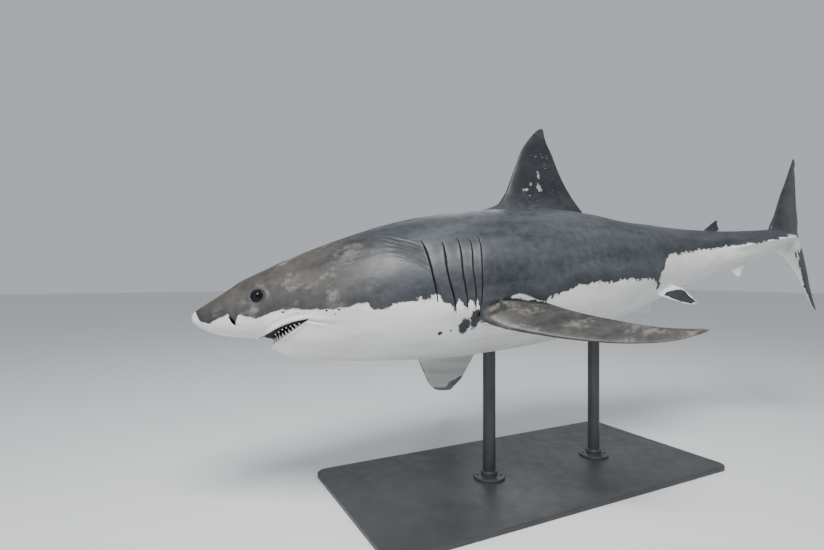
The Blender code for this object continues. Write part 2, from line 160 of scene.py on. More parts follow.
# %% Sizes along the body
BODY = np.array([
    (0.3, 0.25, -0.15, 0.00), (0.6, 0.62, -0.60, 0.42), (1.2, 0.98, -1.10, 0.85),
    (2.2, 1.50, -1.70, 1.42), (4.0, 2.40, -2.35, 2.30), (5.6, 3.20, -2.75, 2.90),
    (6.6, 3.55, -3.25, 3.20), (7.6, 3.90, -4.20, 3.55), (9.0, 4.40, -5.05, 4.05),
    (11.5, 5.15, -5.90, 4.90), (15.0, 6.05, -6.60, 6.10), (20.0, 7.20, -7.40, 7.45),
    (25.0, 7.95, -8.00, 8.25), (30.0, 8.28, -8.35, 8.60), (36.0, 8.42, -8.50, 8.65),
    (42.0, 8.25, -8.35, 8.25), (48.0, 7.50, -7.90, 7.60), (55.0, 6.12, -6.75, 6.35),
    (62.0, 5.10, -5.35, 4.90), (70.0, 3.75, -3.75, 3.40), (76.0, 2.65, -2.60, 2.45),
    (81.0, 1.85, -1.80, 1.80), (84.0, 1.50, -1.50, 1.15), (86.0, 1.20, -1.20, 0.78),
    (87.5, 1.00, -1.00, 0.60), (89.0, 0.90, -0.90, 0.44), (90.4, 0.85, -0.85, 0.25),
    (91.3, 0.80, -0.80, 0.11), (91.7, 0.80, -0.80, 0.045),
])
NOSE, TAIL_WEB_END = BODY[0, 0], BODY[-1, 0]
KEEL = (74, 81.5, 88)
KEEL_WIDTH = 1.35
KEEL_HEIGHT = 0.55
TABLE_STEP = 0.02

table_at = np.arange(0, 100, TABLE_STEP)
size_table = np.stack([smooth(BODY[:, 0], BODY[:, k], table_at) for k in (1, 2, 3)]
                      + [KEEL_WIDTH * smooth(KEEL, [0, 1, 0], table_at)], axis=1).tolist()


def clamped(share):
    return min(max(share, 0), 1)


def body_sizes(station):
    """Middle height, half height, half width and keel width at a station."""
    row = min(max(station / TABLE_STEP, 0), len(size_table) - 2)
    i = int(row)
    t = row - i
    top, bottom, half_width, keel = (a * (1 - t) + b * t for a, b in zip(size_table[i], size_table[i + 1]))
    return (top + bottom) / 2, (top - bottom) / 2, half_width, keel


def bump(distance, width):
    return math.exp(-((distance / width) ** 2))


def on_skin(spot):
    """The place on the skin that lies in the same direction from the body's middle."""
    station, left, up = spot
    middle, half_height, half_width, keel = body_sizes(station)
    across = left / max(half_width, 1e-6)
    above = (up - middle) / half_height
    size = math.hypot(across, above) or 1
    across, above = across / size, above / size
    rise = half_height * above
    return Vector((station, (half_width + keel * bump(rise, KEEL_HEIGHT)) * across, middle + rise))


def skin_left(station, up):
    """How far to the left the skin lies at this station and height."""
    middle, half_height, half_width, _ = body_sizes(station)
    share = (up - middle) / half_height
    return half_width * math.sqrt(max(0, 1 - share * share))


def outward(spot):
    """The direction out of the skin, ignoring the body's taper."""
    middle, half_height, half_width, _ = body_sizes(spot[0])
    return Vector((0, spot[1] / half_width ** 2, (spot[2] - middle) / half_height ** 2)).normalized()


widest = max(table_at, key=lambda station: body_sizes(station)[2])
print(f"The trunk is widest at station {widest:.1f}, {2 * body_sizes(widest)[2] * PERCENT:.2f} m across")

# %% [markdown]
# ## The fins as rules
#
# A shark's fin is a thin wing. Its outline is a table of rows: how far out from the root, and where
# the leading and the trailing edge are. Across, it is an aerofoil: blunt in front, thickest at a
# third of the way, and thin behind. So one rule gives any point on a fin from three numbers: the
# distance out, the share of the way from the front to the back, and the side.

# %% Fin outlines
DORSAL = [
    (-1.5, 32.2, 46.4), (0, 32.8, 48.0), (0.24, 34.0, 50.9), (0.45, 35.0, 50.8), (0.7, 36.0, 50.6),
    (1.0, 36.9, 50.2), (1.3, 37.5, 49.9), (1.75, 37.9, 49.5), (2.45, 38.3, 49.1), (4.05, 39.3, 48.2),
    (6.25, 40.7, 47.4), (8.25, 42.0, 46.9), (9.85, 43.5, 46.3), (10.85, 44.6, 46.2), (11.45, 45.4, 46.2),
    (11.65, 45.9, 46.1),
]
SECOND_DORSAL = [
    (-0.5, 72.1, 74.4), (0, 72.5, 74.6), (0.2, 72.7, 75.0), (0.7, 73.4, 74.9), (1.3, 74.2, 74.9),
    (1.7, 74.8, 75.1),
]
ANAL = [
    (-0.5, 74.8, 76.6), (0, 75.1, 76.8), (0.25, 75.3, 77.8), (0.8, 75.5, 77.0), (1.4, 75.8, 76.7),
    (1.75, 76.2, 76.5),
]
TAIL_UPPER = [
    (0, 82.4, 91.7), (1.4, 81.4, 92.4), (2.4, 82.3, 92.9), (4.1, 84.3, 93.5), (6.8, 87.8, 94.9),
    (9.0, 91.3, 96.2), (10.7, 94.0, 97.2), (11.6, 95.4, 97.5), (12.0, 96.1, 98.2), (12.9, 97.5, 98.7),
    (13.3, 98.2, 98.7),
]
TAIL_LOWER = [
    (0, 82.5, 91.7), (1.4, 82.0, 92.0), (2.9, 83.8, 92.0), (4.9, 86.2, 91.9), (7.9, 88.7, 91.5),
    (10.3, 89.9, 91.6), (11.4, 91.0, 91.8), (11.8, 91.5, 91.8),
]
PECTORAL = [
    (-1.8, -0.2, 6.6), (0, 0, 7.0), (1.2, 0.4, 8.5), (2.4, 1.0, 8.9), (4.5, 2.8, 9.6), (8, 5.7, 11.1),
    (12, 9.3, 12.9), (14.5, 12.3, 14.5), (15.3, 14.0, 15.1), (15.6, 14.8, 15.2),
]
PELVIC = [(-1.2, -0.1, 4.0), (0, 0, 4.2), (1.0, 0.7, 5.0), (2.2, 1.9, 4.9), (3.2, 3.0, 4.8), (3.6, 3.7, 4.6)]
FIN_EDGE = 0.05
FIN_TAPER = 0.35
SWELL_REACH = 1.3


def fin_half(outline, thickness, swell, share, out):
    """Half of a fin's thickness, and its leading and trailing edge, this far out."""
    out_at, lead_at, trail_at = zip(*outline)
    lead, trail = float(smooth(out_at, lead_at, out)), float(smooth(out_at, trail_at, out))
    x = clamped(share)
    shape = 2.97 * math.sqrt(x) - 1.26 * x - 3.52 * x ** 2 + 2.84 * x ** 3 - 1.03 * x ** 4
    thick = thickness * (trail - lead) * (1 - FIN_TAPER * max(0, out) / out_at[-1])
    thick *= 1 + swell * math.exp(-max(0, out) / SWELL_REACH)
    return thick * shape / 2 + FIN_EDGE / 2, lead, trail


print("The dorsal fin stands", round(DORSAL[-1][0] * PERCENT, 2), "m above the back")

# %% [markdown]
# A fin on the middle line stands on the top or hangs from the bottom. A paired fin is held out from
# the side: its pose says where the front of its root is, how far it droops from level, how far it
# swings tailward, and how its nose pitches, twists and bends on the way to the tip. The right
# pectoral hangs lower than the left, because the fish is turning.
#
# The table of fins also says where each root lies on the body: its angle, the way its sides turn,
# its first and last station, and how far out the fin's levels become flat.

# %% Where each fin is held
Pose = namedtuple("Pose", "root size droop swing pitch twist bend")
Fin = namedtuple("Fin", "outline thickness swell spot angle turn first last flat")
LEFT_PECTORAL = Pose((26.9, 6.8, -4.2), 0.96, 39.5, 6.2, -5, -16, 0)
RIGHT_PECTORAL = Pose((25.7, 6.6, -4.6), 1.13, 41.4, -11.1, 19.9, -21, 3.2)
LEFT_PELVIC = Pose((56.4, 3.9, -4.5), 1, 50, 3, -7, 0, 0)
RIGHT_PELVIC = Pose((57.2, 3.4, -4.6), 1.08, 56, 18, 17, 4, 0)
PECTORAL_SPAN, PELVIC_SPAN = PECTORAL[-1][0], PELVIC[-1][0]


def midline_spot(sign, from_skin):
    """A rule for a fin in the middle plane; sign -1 hangs it below."""
    def spot(out, chord, offset):
        middle, half_height, _, _ = body_sizes(chord)
        return Vector((chord, offset, (middle + sign * half_height) * from_skin + sign * out))
    return spot


def paired_spot(pose, side, span):
    """A rule for a fin on one side; side is 1 on the left and -1 on the right."""
    droop, swing = math.radians(pose.droop), math.radians(pose.swing)
    station, left, up = pose.root

    def spot(out, chord, offset):
        share = max(0, out) / span
        out, chord = pose.size * out, pose.size * chord
        along = out * math.cos(swing) - chord * math.sin(swing)
        back = out * math.sin(swing) + chord * math.cos(swing)
        pitch = math.radians(pose.pitch + pose.twist * share)
        lift = offset * math.cos(pitch) - back * math.sin(pitch) + pose.bend * share ** 2
        return Vector((station + back * math.cos(pitch) + offset * math.sin(pitch),
                       side * (left + along * math.cos(droop) + lift * math.sin(droop)),
                       up - along * math.sin(droop) + lift * math.cos(droop)))
    return spot


left_pectoral = paired_spot(LEFT_PECTORAL, 1, PECTORAL_SPAN)
right_pectoral = paired_spot(RIGHT_PECTORAL, -1, PECTORAL_SPAN)
left_pelvic = paired_spot(LEFT_PELVIC, 1, PELVIC_SPAN)
right_pelvic = paired_spot(RIGHT_PELVIC, -1, PELVIC_SPAN)
FINS = {
    "dorsal": Fin(DORSAL, 0.10, 0, midline_spot(1, 1), 90, -1, 32.9, 48.0, 1.0),
    "second_dorsal": Fin(SECOND_DORSAL, 0.10, 0, midline_spot(1, 1), 90, -1, 72.5, 74.6, 0.3),
    "anal": Fin(ANAL, 0.10, 0, midline_spot(-1, 1), -90, 1, 75.1, 76.8, 0.3),
    "tail_upper": Fin(TAIL_UPPER, 0.12, 0, midline_spot(1, 0), 90, -1, 81.6, 91.6, 2.4),
    "tail_lower": Fin(TAIL_LOWER, 0.12, 0, midline_spot(-1, 0), -90, 1, 82.0, 91.6, 2.6),
    "left_pectoral": Fin(PECTORAL, 0.10, 1.6, left_pectoral, -30, 1, 26.9, 33.6, 1.3),
    "right_pectoral": Fin(PECTORAL, 0.10, 1.6, right_pectoral, -146.25, -1, 25.8, 33.6, 1.5),
    "left_pelvic": Fin(PELVIC, 0.09, 0, left_pelvic, -48.75, 1, 56.4, 60.5, 1.0),
    "right_pelvic": Fin(PELVIC, 0.09, 0, right_pelvic, -123.75, -1, 57.2, 61.4, 1.0),
}
FIN_NAME = dict(enumerate(FINS, 1))


def fin_point(name, share, side, out):
    """A point of a fin: its share of the chord, its side of the middle, and how far out it is."""
    fin = FINS[name]
    half, lead, trail = fin_half(fin.outline, fin.thickness, fin.swell, share, out)
    return fin.spot(out, lead + (trail - lead) * share, side * half)


for name in ("left_pectoral", "right_pectoral"):
    tip = bend([fin_point(name, 0.5, 0, PECTORAL_SPAN)])[0]
    print(f"The tip of the {name} fin is {tip[2]:.2f} m above the floor")

# %% [markdown]
# ## A ball becomes a fish
#
# A UV sphere already has what a fish needs: rings of points between two poles. Each ring is moved to
# a station and stretched to that station's ellipse. The rings lie closer together where the form
# turns fast: at the snout, along the gills, and where each fin starts and ends.
#
# The fins will be grown out of this skin, so two columns of faces along each root have to lie just
# where the fin's surface cuts the body. `root_shift` finds that place by halving: a point of the
# fin that is inside the body is moved out, one that is outside is moved in. The columns beside the
# root are pushed along with it, less and less with distance, so that no faces fold over.

# %% Roots of the fins on the body
COLUMNS = 96
COLUMN_ANGLE = 360 / COLUMNS
WIDEST_STEP = 0.62
STEP_GROWTH = 0.16
CLOSE_RINGS = [
    (0.3, 0.07), (6.6, 0.24), (10.0, 0.24), (22.5, 0.28), (25.8, 0.16), (26.9, 0.14), (32.9, 0.16),
    (33.5, 0.2), (48.0, 0.2), (56.4, 0.14), (60.4, 0.2), (72.5, 0.12), (74.6, 0.12), (75.1, 0.12),
    (76.8, 0.12), (81.7, 0.12), (91.7, 0.09),
]
ROOT_SEARCH = (-1.8, 3.0)
HALVINGS = 24


def ring_stations():
    found = [NOSE]
    while found[-1] < TAIL_WEB_END:
        here = found[-1]
        close = [step + STEP_GROWTH * abs(here - at) for at, step in CLOSE_RINGS]
        found.append(here + min([WIDEST_STEP] + close))
    found[-1] = TAIL_WEB_END
    return found


def skin_at(station, angle):
    """A place on the skin, from its angle round the body in degrees: 0 is left and 90 is up."""
    middle, half_height, half_width, keel = body_sizes(station)
    rise = half_height * math.sin(math.radians(angle))
    width = half_width + keel * bump(rise, KEEL_HEIGHT)
    return Vector((station, width * math.cos(math.radians(angle)), middle + rise))


def root_shift(name, station, share, side):
    """How a grid point of the root moves: in station and angle, how far out it lies, and its slip."""
    fin = FINS[name]
    if name.endswith(("pectoral", "pelvic")):
        low, high = ROOT_SEARCH
        for _ in range(HALVINGS):
            out = (low + high) / 2
            place = fin_point(name, share, side, out)
            middle, half_height, half_width, _ = body_sizes(place.x)
            across, above = place.y / half_width, (place.z - middle) / half_height
            low, high = (out, high) if math.hypot(across, above) < 1 else (low, out)
        aim = (place.x, math.degrees(math.atan2(above, across)))
    else:
        _, half_height, half_width, _ = body_sizes(station)
        out = 0 if fin.spot(0, station, 0).z else half_height
        half = fin_half(fin.outline, fin.thickness, fin.swell, share, out)[0]
        aim = (station, fin.angle + fin.turn * side * math.degrees(math.asin(min(0.9, half / half_width))))
    slip = skin_at(*aim) - fin_point(name, share, side, out)
    return aim[0] - station, aim[1] - (fin.angle + fin.turn * side * COLUMN_ANGLE), out, slip


stations = ring_stations()
roots = {}
for name, fin in FINS.items():
    rings = [ring for ring, station in enumerate(stations) if fin.first <= station <= fin.last]
    front, back = stations[rings[0]], stations[rings[-1]]
    shares = [(stations[ring] - front) / (back - front) for ring in rings]
    shifts = [[root_shift(name, stations[ring], share, side) for side in (-1, 0, 1)]
              for ring, share in zip(rings, shares)]
    roots[name] = (rings[0], shifts, shares)
print("Rings along each root:", {name: len(root[1]) for name, root in roots.items()})

# %% The plain body
ROOT_REACH = 2.5
SPREAD = {"tail_upper": 86, "tail_lower": 86}
COMMON_SPREAD = 34
skin = bmesh.new()
rest_layer, slip_layer = (skin.verts.layers.float_vector.new(name) for name in ("rest", "slip"))
chord_layer, side_layer, out_layer, root_layer, depth_layer, level_layer = (
    skin.verts.layers.float.new(name) for name in ("chord", "side", "out", "root", "depth", "level"))
fin_layer = skin.verts.layers.int.new("fin")
fin_faces = skin.faces.layers.int.new("fin")
bmesh.ops.create_uvsphere(skin, u_segments=COLUMNS, v_segments=len(stations) - 1, radius=1)


def pushed(ring, station, angle, vert):
    """The station and angle of a grid point after the roots of the fins have pushed it."""
    for number, (name, (first, rows, shares)) in enumerate(roots.items(), 1):
        row = min(max(ring - first, 0), len(rows) - 1)
        ahead = abs(station - stations[first + row]) / ROOT_REACH
        aside = FINS[name].turn * ((angle - FINS[name].angle + 180) % 360 - 180) / COLUMN_ANGLE
        spread = SPREAD.get(name, COMMON_SPREAD) / COLUMN_ANGLE
        if ahead >= 1 or abs(aside) >= spread:
            continue
        inner = max(-1, min(1, aside))
        low, high = rows[row][:2] if inner < 0 else rows[row][1:]
        t = inner + 1 if inner < 0 else inner
        share = (1 - ahead) * (1 - max(0, abs(aside) - 1) / (spread - 1))
        station += share * (low[0] * (1 - t) + high[0] * t)
        angle += share * (low[1] * (1 - t) + high[1] * t)
        if row == ring - first and abs(aside) < 1.01:
            side = round(inner)
            vert[fin_layer] = number
            vert[chord_layer], vert[side_layer] = shares[row], side
            vert[root_layer], vert[slip_layer] = rows[row][side + 1][2], rows[row][side + 1][3]
    return station, angle


for vert in skin.verts:
    ring = round(math.acos(max(-1, min(1, vert.co.z))) / math.pi * (len(stations) - 1))
    if 0 < ring < len(stations) - 1:
        angle = math.degrees(math.atan2(vert.co.y, vert.co.x))
        vert.co = skin_at(*pushed(ring, stations[ring], angle, vert))
    else:
        vert.co = (stations[ring], 0, body_sizes(stations[ring])[0])
for face in skin.faces:
    numbers = {vert[fin_layer] for vert in face.verts}
    if len(numbers) == 1:
        face[fin_faces] = numbers.pop()
print(f"The plain body has {len(stations)} rings and {len(skin.faces)} faces")

# %% [markdown]
# The head needs smaller faces than the trunk, and the eyes, nostrils, lips and gill slits smaller
# still. `subdivide_edges` cuts each face of a region into four, and the new points are laid on the
# skin, because a plain cut leaves them on the flat of the old face.

# %% Finer faces where the detail is
EYE = (6.78, 1.1)
EYE_RADIUS = 0.64
EYE_SINK = 0.31
FINEST_END = 31
HEAD_END = 14
GILL_SLITS = [
    [(22.17, 4.2), (22.13, 1.2), (22.3, -1.65)],
    [(23.95, 3.7), (23.52, 0.7), (24.04, -3.0)],
    [(25.6, 3.85), (24.97, 0.1), (25.2, -2.85)],
    [(26.82, 3.6), (26.03, 0.1), (26.05, -3.1)],
    [(27.95, 4.0), (27.0, 0.4), (26.53, -3.6)],
]
slit_tables = []
for slit in GILL_SLITS:
    ups, at = zip(*sorted((up, station) for station, up in slit))
    heights = np.linspace(ups[0], ups[-1], 60)
    slit_tables.append((heights, smooth(ups, at, heights)))


def slit_offset(table, station, up):
    """How far tailward of a slit this place is."""
    return station - float(np.interp(up, *table))


def within(first, last, low, high):
    """A region between two stations and two heights."""
    return lambda station, left, up: first < station < last and low < up < high


def from_eye(station, up):
    """The distance to the eye, seen from the side."""
    return math.hypot(station - EYE[0], up - EYE[1])


near_gills = within(20.8, 28.6, -3.75, 5.2)
near_mouth = within(5.7, 12.2, -5.0, -1.2)
near_nostril = within(3.3, 5.2, -2.0, 0.3)


def at_a_slit(*spot):
    return near_gills(*spot) and min(abs(slit_offset(table, spot[0], spot[2])) for table in slit_tables) < 0.5


def over_the_pectoral(station, left, up):
    return left > 0 and 28.3 < station < 34.6 and -3.8 < up < -1.9


def at_the_face(*spot):
    return from_eye(spot[0], spot[2]) < 1.4 or near_mouth(*spot) or near_nostril(*spot)


def refine(region):
    """Cuts each face of a region into four, and lays the new points on the skin."""
    faces = [face for face in skin.faces if region(*face.calc_center_median())
             and not any(vert[fin_layer] for vert in face.verts)]
    edges = list(dict.fromkeys(edge for face in faces for edge in face.edges))
    bmesh.ops.subdivide_edges(skin, edges=edges, cuts=1, use_grid_fill=True)
    for vert in skin.verts:
        if vert.co.x < FINEST_END:
            vert.co = on_skin(vert.co)


for region in (lambda station, left, up: station < HEAD_END, at_the_face, near_gills, at_a_slit,
               over_the_pectoral, over_the_pectoral):
    refine(region)
print(f"With the finer head and gills the skin has {len(skin.faces)} faces")

# %% [markdown]
# ## Lines on the skin
#
# Lips, eyelids and slits have clean edges that don't follow the rings. Each is drawn as a rule that
# is positive inside the opening and negative outside. Where the rule changes sign along an edge, the
# edge is split right there, and joining the splits across each face draws the line.

# %% Cutting an outline into the skin
ON_THE_LINE = 0.012


def draw_line(rule, region):
    """Cuts a line of edges where the rule is zero, in the faces of a region."""
    faces = [face for face in skin.faces if region(*face.calc_center_median())]
    edges = dict.fromkeys(edge for face in faces for edge in face.edges)
    value = {vert: rule(*vert.co) for edge in edges for vert in edge.verts}
    line = [vert for vert in value if abs(value[vert]) < ON_THE_LINE]
    value.update({vert: 0 for vert in line})
    for edge in edges:
        near, far = edge.verts
        if value[near] * value[far] < 0:
            _, new = bmesh.utils.edge_split(edge, near, value[near] / (value[near] - value[far]))
            line.append(new)
    bmesh.ops.connect_verts(skin, verts=line)


def faces_inside(rule, region):
    centres = [(face, face.calc_center_median()) for face in skin.faces]
    return [face for face, centre in centres if region(*centre) and rule(*centre) > 0]

# %% [markdown]
# The eye is a ball sunk in the head, so its opening is where the skin would cut into a slightly
# larger ball. The nostril is a slanted slit under the snout's edge. The gill slits are long, narrow
# and pointed at both ends.

# %% Outlines of the eyes, nostrils and gill slits
EYE_OPENING = EYE_RADIUS + 0.012
EYE_REACH = 1.2
NOSTRIL = ((3.95, -0.38), (4.45, -1.32))
NOSTRIL_WIDTH = 0.17
GILL_WIDTH = 0.11


def eye_centre(side):
    return Vector((EYE[0], side * (skin_left(*EYE) - EYE_SINK), EYE[1]))


def eye_rule(station, left, up):
    return EYE_OPENING - (Vector((station, left, up)) - eye_centre(math.copysign(1, left))).length


def along_segment(start, end, station, up):
    """How far along a segment a place lies, as a share, and its distance from the segment's line."""
    run = (end[0] - start[0], end[1] - start[1])
    size = math.hypot(*run)
    share = ((station - start[0]) * run[0] + (up - start[1]) * run[1]) / size ** 2
    return share, ((station - start[0]) * run[1] - (up - start[1]) * run[0]) / size


def nostril_rule(station, left, up):
    share, aside = along_segment(*NOSTRIL, station, up)
    width = NOSTRIL_WIDTH * math.sqrt(max(0, 1 - (2 * share - 1) ** 2)) * (0.6 + 0.4 * share)
    return width - abs(aside) - 0.004


def slit_rule(table):
    low, high = table[0][0], table[0][-1]

    def rule(station, left, up):
        share = (up - low) / (high - low)
        width = GILL_WIDTH * min(1, 3 * share + 0.42, 3.5 * (1 - share) + 0.42)
        return width - abs(slit_offset(table, station, up))
    return rule


def slit_region(table):
    low, high = table[0][0] - 0.5, table[0][-1] + 0.5
    return lambda station, left, up: low < up < high and abs(slit_offset(table, station, up)) < 0.6


def eye_region(station, left, up):
    return from_eye(station, up) < EYE_REACH


nostril_region = within(3.5, 5.0, -1.9, 0.2)
draw_line(eye_rule, eye_region)
draw_line(nostril_rule, nostril_region)
for table in slit_tables:
    draw_line(slit_rule(table), slit_region(table))
print("Drew the eyes, the nostrils and the gill slits")

# %% [markdown]
# The mouth is a curved gap under the head. Seen from the side, the upper lip runs from under the
# snout back to the corner, and the lower lip runs forward from the corner to the chin. Two rules
# draw the two lips, and the gap is where both are positive.

# %% Outlines of the lips
UPPER_LIP = [(6.1, -2.95), (7.1, -2.63), (7.9, -2.28), (8.8, -2.02), (10.0, -1.81), (11.1, -1.78)]
LOWER_LIP = [(11.1, -1.81), (10.5, -2.20), (9.8, -2.62), (8.7, -3.17), (7.9, -3.48), (7.35, -3.78)]
MOUTH_CORNER = UPPER_LIP[-1][0]
MOUTH_FRONT = UPPER_LIP[0][0]
CHIN = LOWER_LIP[-1][0]
upper_at, upper_up = zip(*UPPER_LIP)
lower_up, lower_at = zip(*[(up, at) for at, up in LOWER_LIP[::-1]])
lip_stations = np.linspace(MOUTH_FRONT, MOUTH_CORNER, 80)
lip_heights = smooth(upper_at, upper_up, lip_stations)
jaw_heights = np.linspace(lower_up[0], lower_up[-1], 80)
jaw_stations = smooth(lower_up, lower_at, jaw_heights)


def upper_lip(station):
    return float(np.interp(station, lip_stations, lip_heights)) - 3 * max(0, MOUTH_FRONT - station)


def lower_lip(station):
    """The lower lip's height at a station."""
    return float(np.interp(station, jaw_stations[::-1], jaw_heights[::-1]))


def under_upper_lip(station, left, up):
    return upper_lip(station) - up


def before_lower_lip(station, left, up):
    return float(np.interp(up, jaw_heights, jaw_stations)) - station


def mouth_rule(station, left, up):
    return min(under_upper_lip(station, left, up), before_lower_lip(station, left, up))


mouth_region = within(5.7, 11.6, -4.6, -1.4)
LIP_MARGIN = 0.25


def upper_region(*spot):
    return mouth_region(*spot) and spot[0] < MOUTH_CORNER and before_lower_lip(*spot) > -LIP_MARGIN


def lower_region(*spot):
    return mouth_region(*spot) and under_upper_lip(*spot) > -LIP_MARGIN


draw_line(under_upper_lip, upper_region)
draw_line(before_lower_lip, lower_region)
print(f"The mouth opens {(upper_lip(CHIN) - LOWER_LIP[-1][1]) * PERCENT * 1000:.0f} mm at the chin")

# %% [markdown]
# ## Growing the fins
#
# A fin made as a piece of its own would show a seam. Instead the two columns of faces along each
# root are extruded outwards, level by level, and each new level is laid on the fin's rule. The new
# points copy their share, side and root from the old ones, because those are stored on the mesh.
#
# Near the body the levels follow the skin, and further out they lie flat across the fin. A little
# smoothing round the root then makes the soft hollow that joins a real fin to its body.

# %% Extruding the fins
LEVEL_STEP = 0.62
NEAR_LEVELS = (0.12, 0.3, 0.55, 0.8, 1)


def push_out(faces):
    """Extrudes a patch of faces, removes the old ones and returns the new ones."""
    grown = bmesh.ops.extrude_face_region(skin, geom=faces)["geom"]
    bmesh.ops.delete(skin, geom=[face for face in faces if face.is_valid], context="FACES")
    return [item for item in grown if isinstance(item, bmesh.types.BMFace)]


def fin_levels(fin):
    """A fin's levels: the share of the way to the first flat level, and a distance out."""
    span = fin.outline[-1][0] - fin.flat
    count = max(4, round(span / LEVEL_STEP))
    flats = [fin.flat + span * math.sin(k / count * math.pi / 2) ** 0.85 for k in range(1, count + 1)]
    return [(near, fin.flat) for near in NEAR_LEVELS] + [(1, out) for out in flats]


levels = {number: fin_levels(FINS[name]) for number, name in FIN_NAME.items()}
faces = [face for face in skin.faces if face[fin_faces]]
for k in range(max(len(rows) for rows in levels.values())):
    faces = push_out([face for face in faces if k < len(levels[face[fin_faces]])])
    for vert, number in {vert: face[fin_faces] for face in faces for vert in face.verts}.items():
        near, out_flat = levels[number][k]
        out = vert[root_layer] * (1 - near) + out_flat * near
        spot = fin_point(FIN_NAME[number], vert[chord_layer], vert[side_layer], out)
        vert.co = spot + vert[slip_layer] * (1 - near)
        vert[out_layer], vert[fin_layer] = out, number
        vert[level_layer] = near if k < len(NEAR_LEVELS) else 2
print("Levels of each fin:", {FIN_NAME[number]: len(rows) for number, rows in levels.items()})

# %% Softening the fins' roots
ROOT_PASSES = 5
NEAR_ROOT = 0.7


def soften(verts, passes, factor=0.5):
    """Moves points of the skin towards the middle of their neighbours."""
    for _ in range(passes):
        bmesh.ops.smooth_vert(skin, verts=verts, factor=factor, use_axis_x=True, use_axis_y=True,
                              use_axis_z=True)


at_root = {vert for vert in skin.verts if vert[fin_layer] and vert[level_layer] < NEAR_ROOT}
for _ in range(3):
    beside = {edge.other_vert(vert) for vert in at_root for edge in vert.link_edges}
    at_root |= {vert for vert in beside if vert[level_layer] < NEAR_ROOT}
soften(list(at_root), ROOT_PASSES)
print(f"Softened {len(at_root)} points round the roots; the skin has {len(skin.faces)} faces")

# %% [markdown]
# ## Relief
#
# A plain ellipse has no face. The skin is now raised and lowered by a few units of a tenth: a brow
# and swollen lids round the eye, lips, a flap at the nostril, a furrow behind the mouth's corner,
# cheeks, and the shingled bars between the gill slits. Over the left pectoral fin a crease parts the
# body from the swollen muscle at the fin's root. Each feature is a smooth bump whose height falls
# off with distance, so they can simply be added up.

# %% Raising the face and the gills
BROW = ((6.9, 2.55), (1.7, 0.5), 0.13)
HOLLOW = ((4.9, 0.9), (1.3, 0.8), -0.12)
CHEEK = ((12.8, -1.1), (2.0, 1.4), 0.14)
CREASE = ((10.9, -1.9), (13.2, -2.6))
SHOULDER_CREASE = [(26.9, -3.5), (28.0, -3.0), (29.5, -2.8), (31.0, -3.0), (32.2, -3.3), (33.6, -3.6),
                   (34.6, -4.2)]
MUSCLE_FRONT, MUSCLE_BACK = SHOULDER_CREASE[0][0], SHOULDER_CREASE[-1][0]
UNEVEN = 0.05
SMOOTH_FROM = 80
SHOULDER_PASSES = 14


def face_relief(station, left, up):
    to_eye = from_eye(station, up)
    high = 0.045 * bump(to_eye - 0.80, 0.17) - 0.03 * bump(to_eye - 1.18, 0.22)
    for (at, height), (length, depth), lift in (BROW, HOLLOW, CHEEK):
        high += lift * bump(math.hypot((station - at) / length, (up - height) / depth), 1)
    share, aside = along_segment(*NOSTRIL, station, up)
    at_nostril = bump(max(0, abs(share - 0.5) - 0.45), 0.2)
    high += (0.10 * bump(aside + 0.27, 0.12) + 0.04 * bump(aside - 0.27, 0.12)) * at_nostril
    past_corner = MOUTH_CORNER + 0.3
    if MOUTH_FRONT - 0.6 < station < past_corner:
        fade = min(1, (past_corner - station) / 0.8)
        above = -under_upper_lip(station, left, up)
        if above > -0.2:
            high += fade * (0.09 * bump(above - 0.14, 0.14) - 0.08 * bump(above - 0.50, 0.16))
        behind = -before_lower_lip(station, left, up)
        if behind > -0.2 and above < 0:
            high += fade * (0.08 * bump(behind - 0.16, 0.15) - 0.06 * bump(behind - 0.60, 0.2))
    share, aside = along_segment(*CREASE, station, up)
    crease = 0.07 * bump(aside + 0.24, 0.16) + 0.05 * bump(aside - 0.24, 0.16) - 0.16 * bump(aside, 0.11)
    return high + bump(max(0, -share, share - 1) * 2.4, 0.35) * crease


def gill_relief(station, left, up):
    high = 0
    for table in slit_tables:
        low_end, high_end = table[0][0], table[0][-1]
        fade = min(1, max(0, (up - low_end + 0.2) / 0.9), max(0, (high_end + 0.1 - up) / 1.2))
        offset = slit_offset(table, station, up)
        high += fade * (0.17 * math.exp(offset / 0.38) if offset < 0 else -0.12 * math.exp(-offset / 0.40))
    return high


def eased(share):
    share = clamped(share)
    return share * share * (3 - 2 * share)


def below_crease(station, up):
    """How far below the crease over the left pectoral fin a place is."""
    return float(np.interp(station, *zip(*SHOULDER_CREASE))) - up


def shoulder_relief(station, left, up):
    below = below_crease(station, up)
    ends = eased((station - MUSCLE_FRONT) / 1.2) * eased((MUSCLE_BACK - station) / 1.5)
    swollen = 0.22 * eased(below / 0.4) * eased((2.4 - below) / 0.9)
    return ends * (swollen - 0.16 * bump(below, 0.14))


def relief(station, left, up):
    high = UNEVEN * (noise.noise(Vector((station * 0.25, left * 0.33, up * 0.33)))
                     + 0.4 * noise.noise(Vector((station * 0.9, left, up))))
    if 0.8 < station < 16.5:
        high += face_relief(station, left, up) * min(1, station - 0.8)
    if 20 < station < 29.5:
        high += gill_relief(station, left, up)
    if MUSCLE_FRONT < station < MUSCLE_BACK and left > 0:
        high += shoulder_relief(station, left, up)
    return high


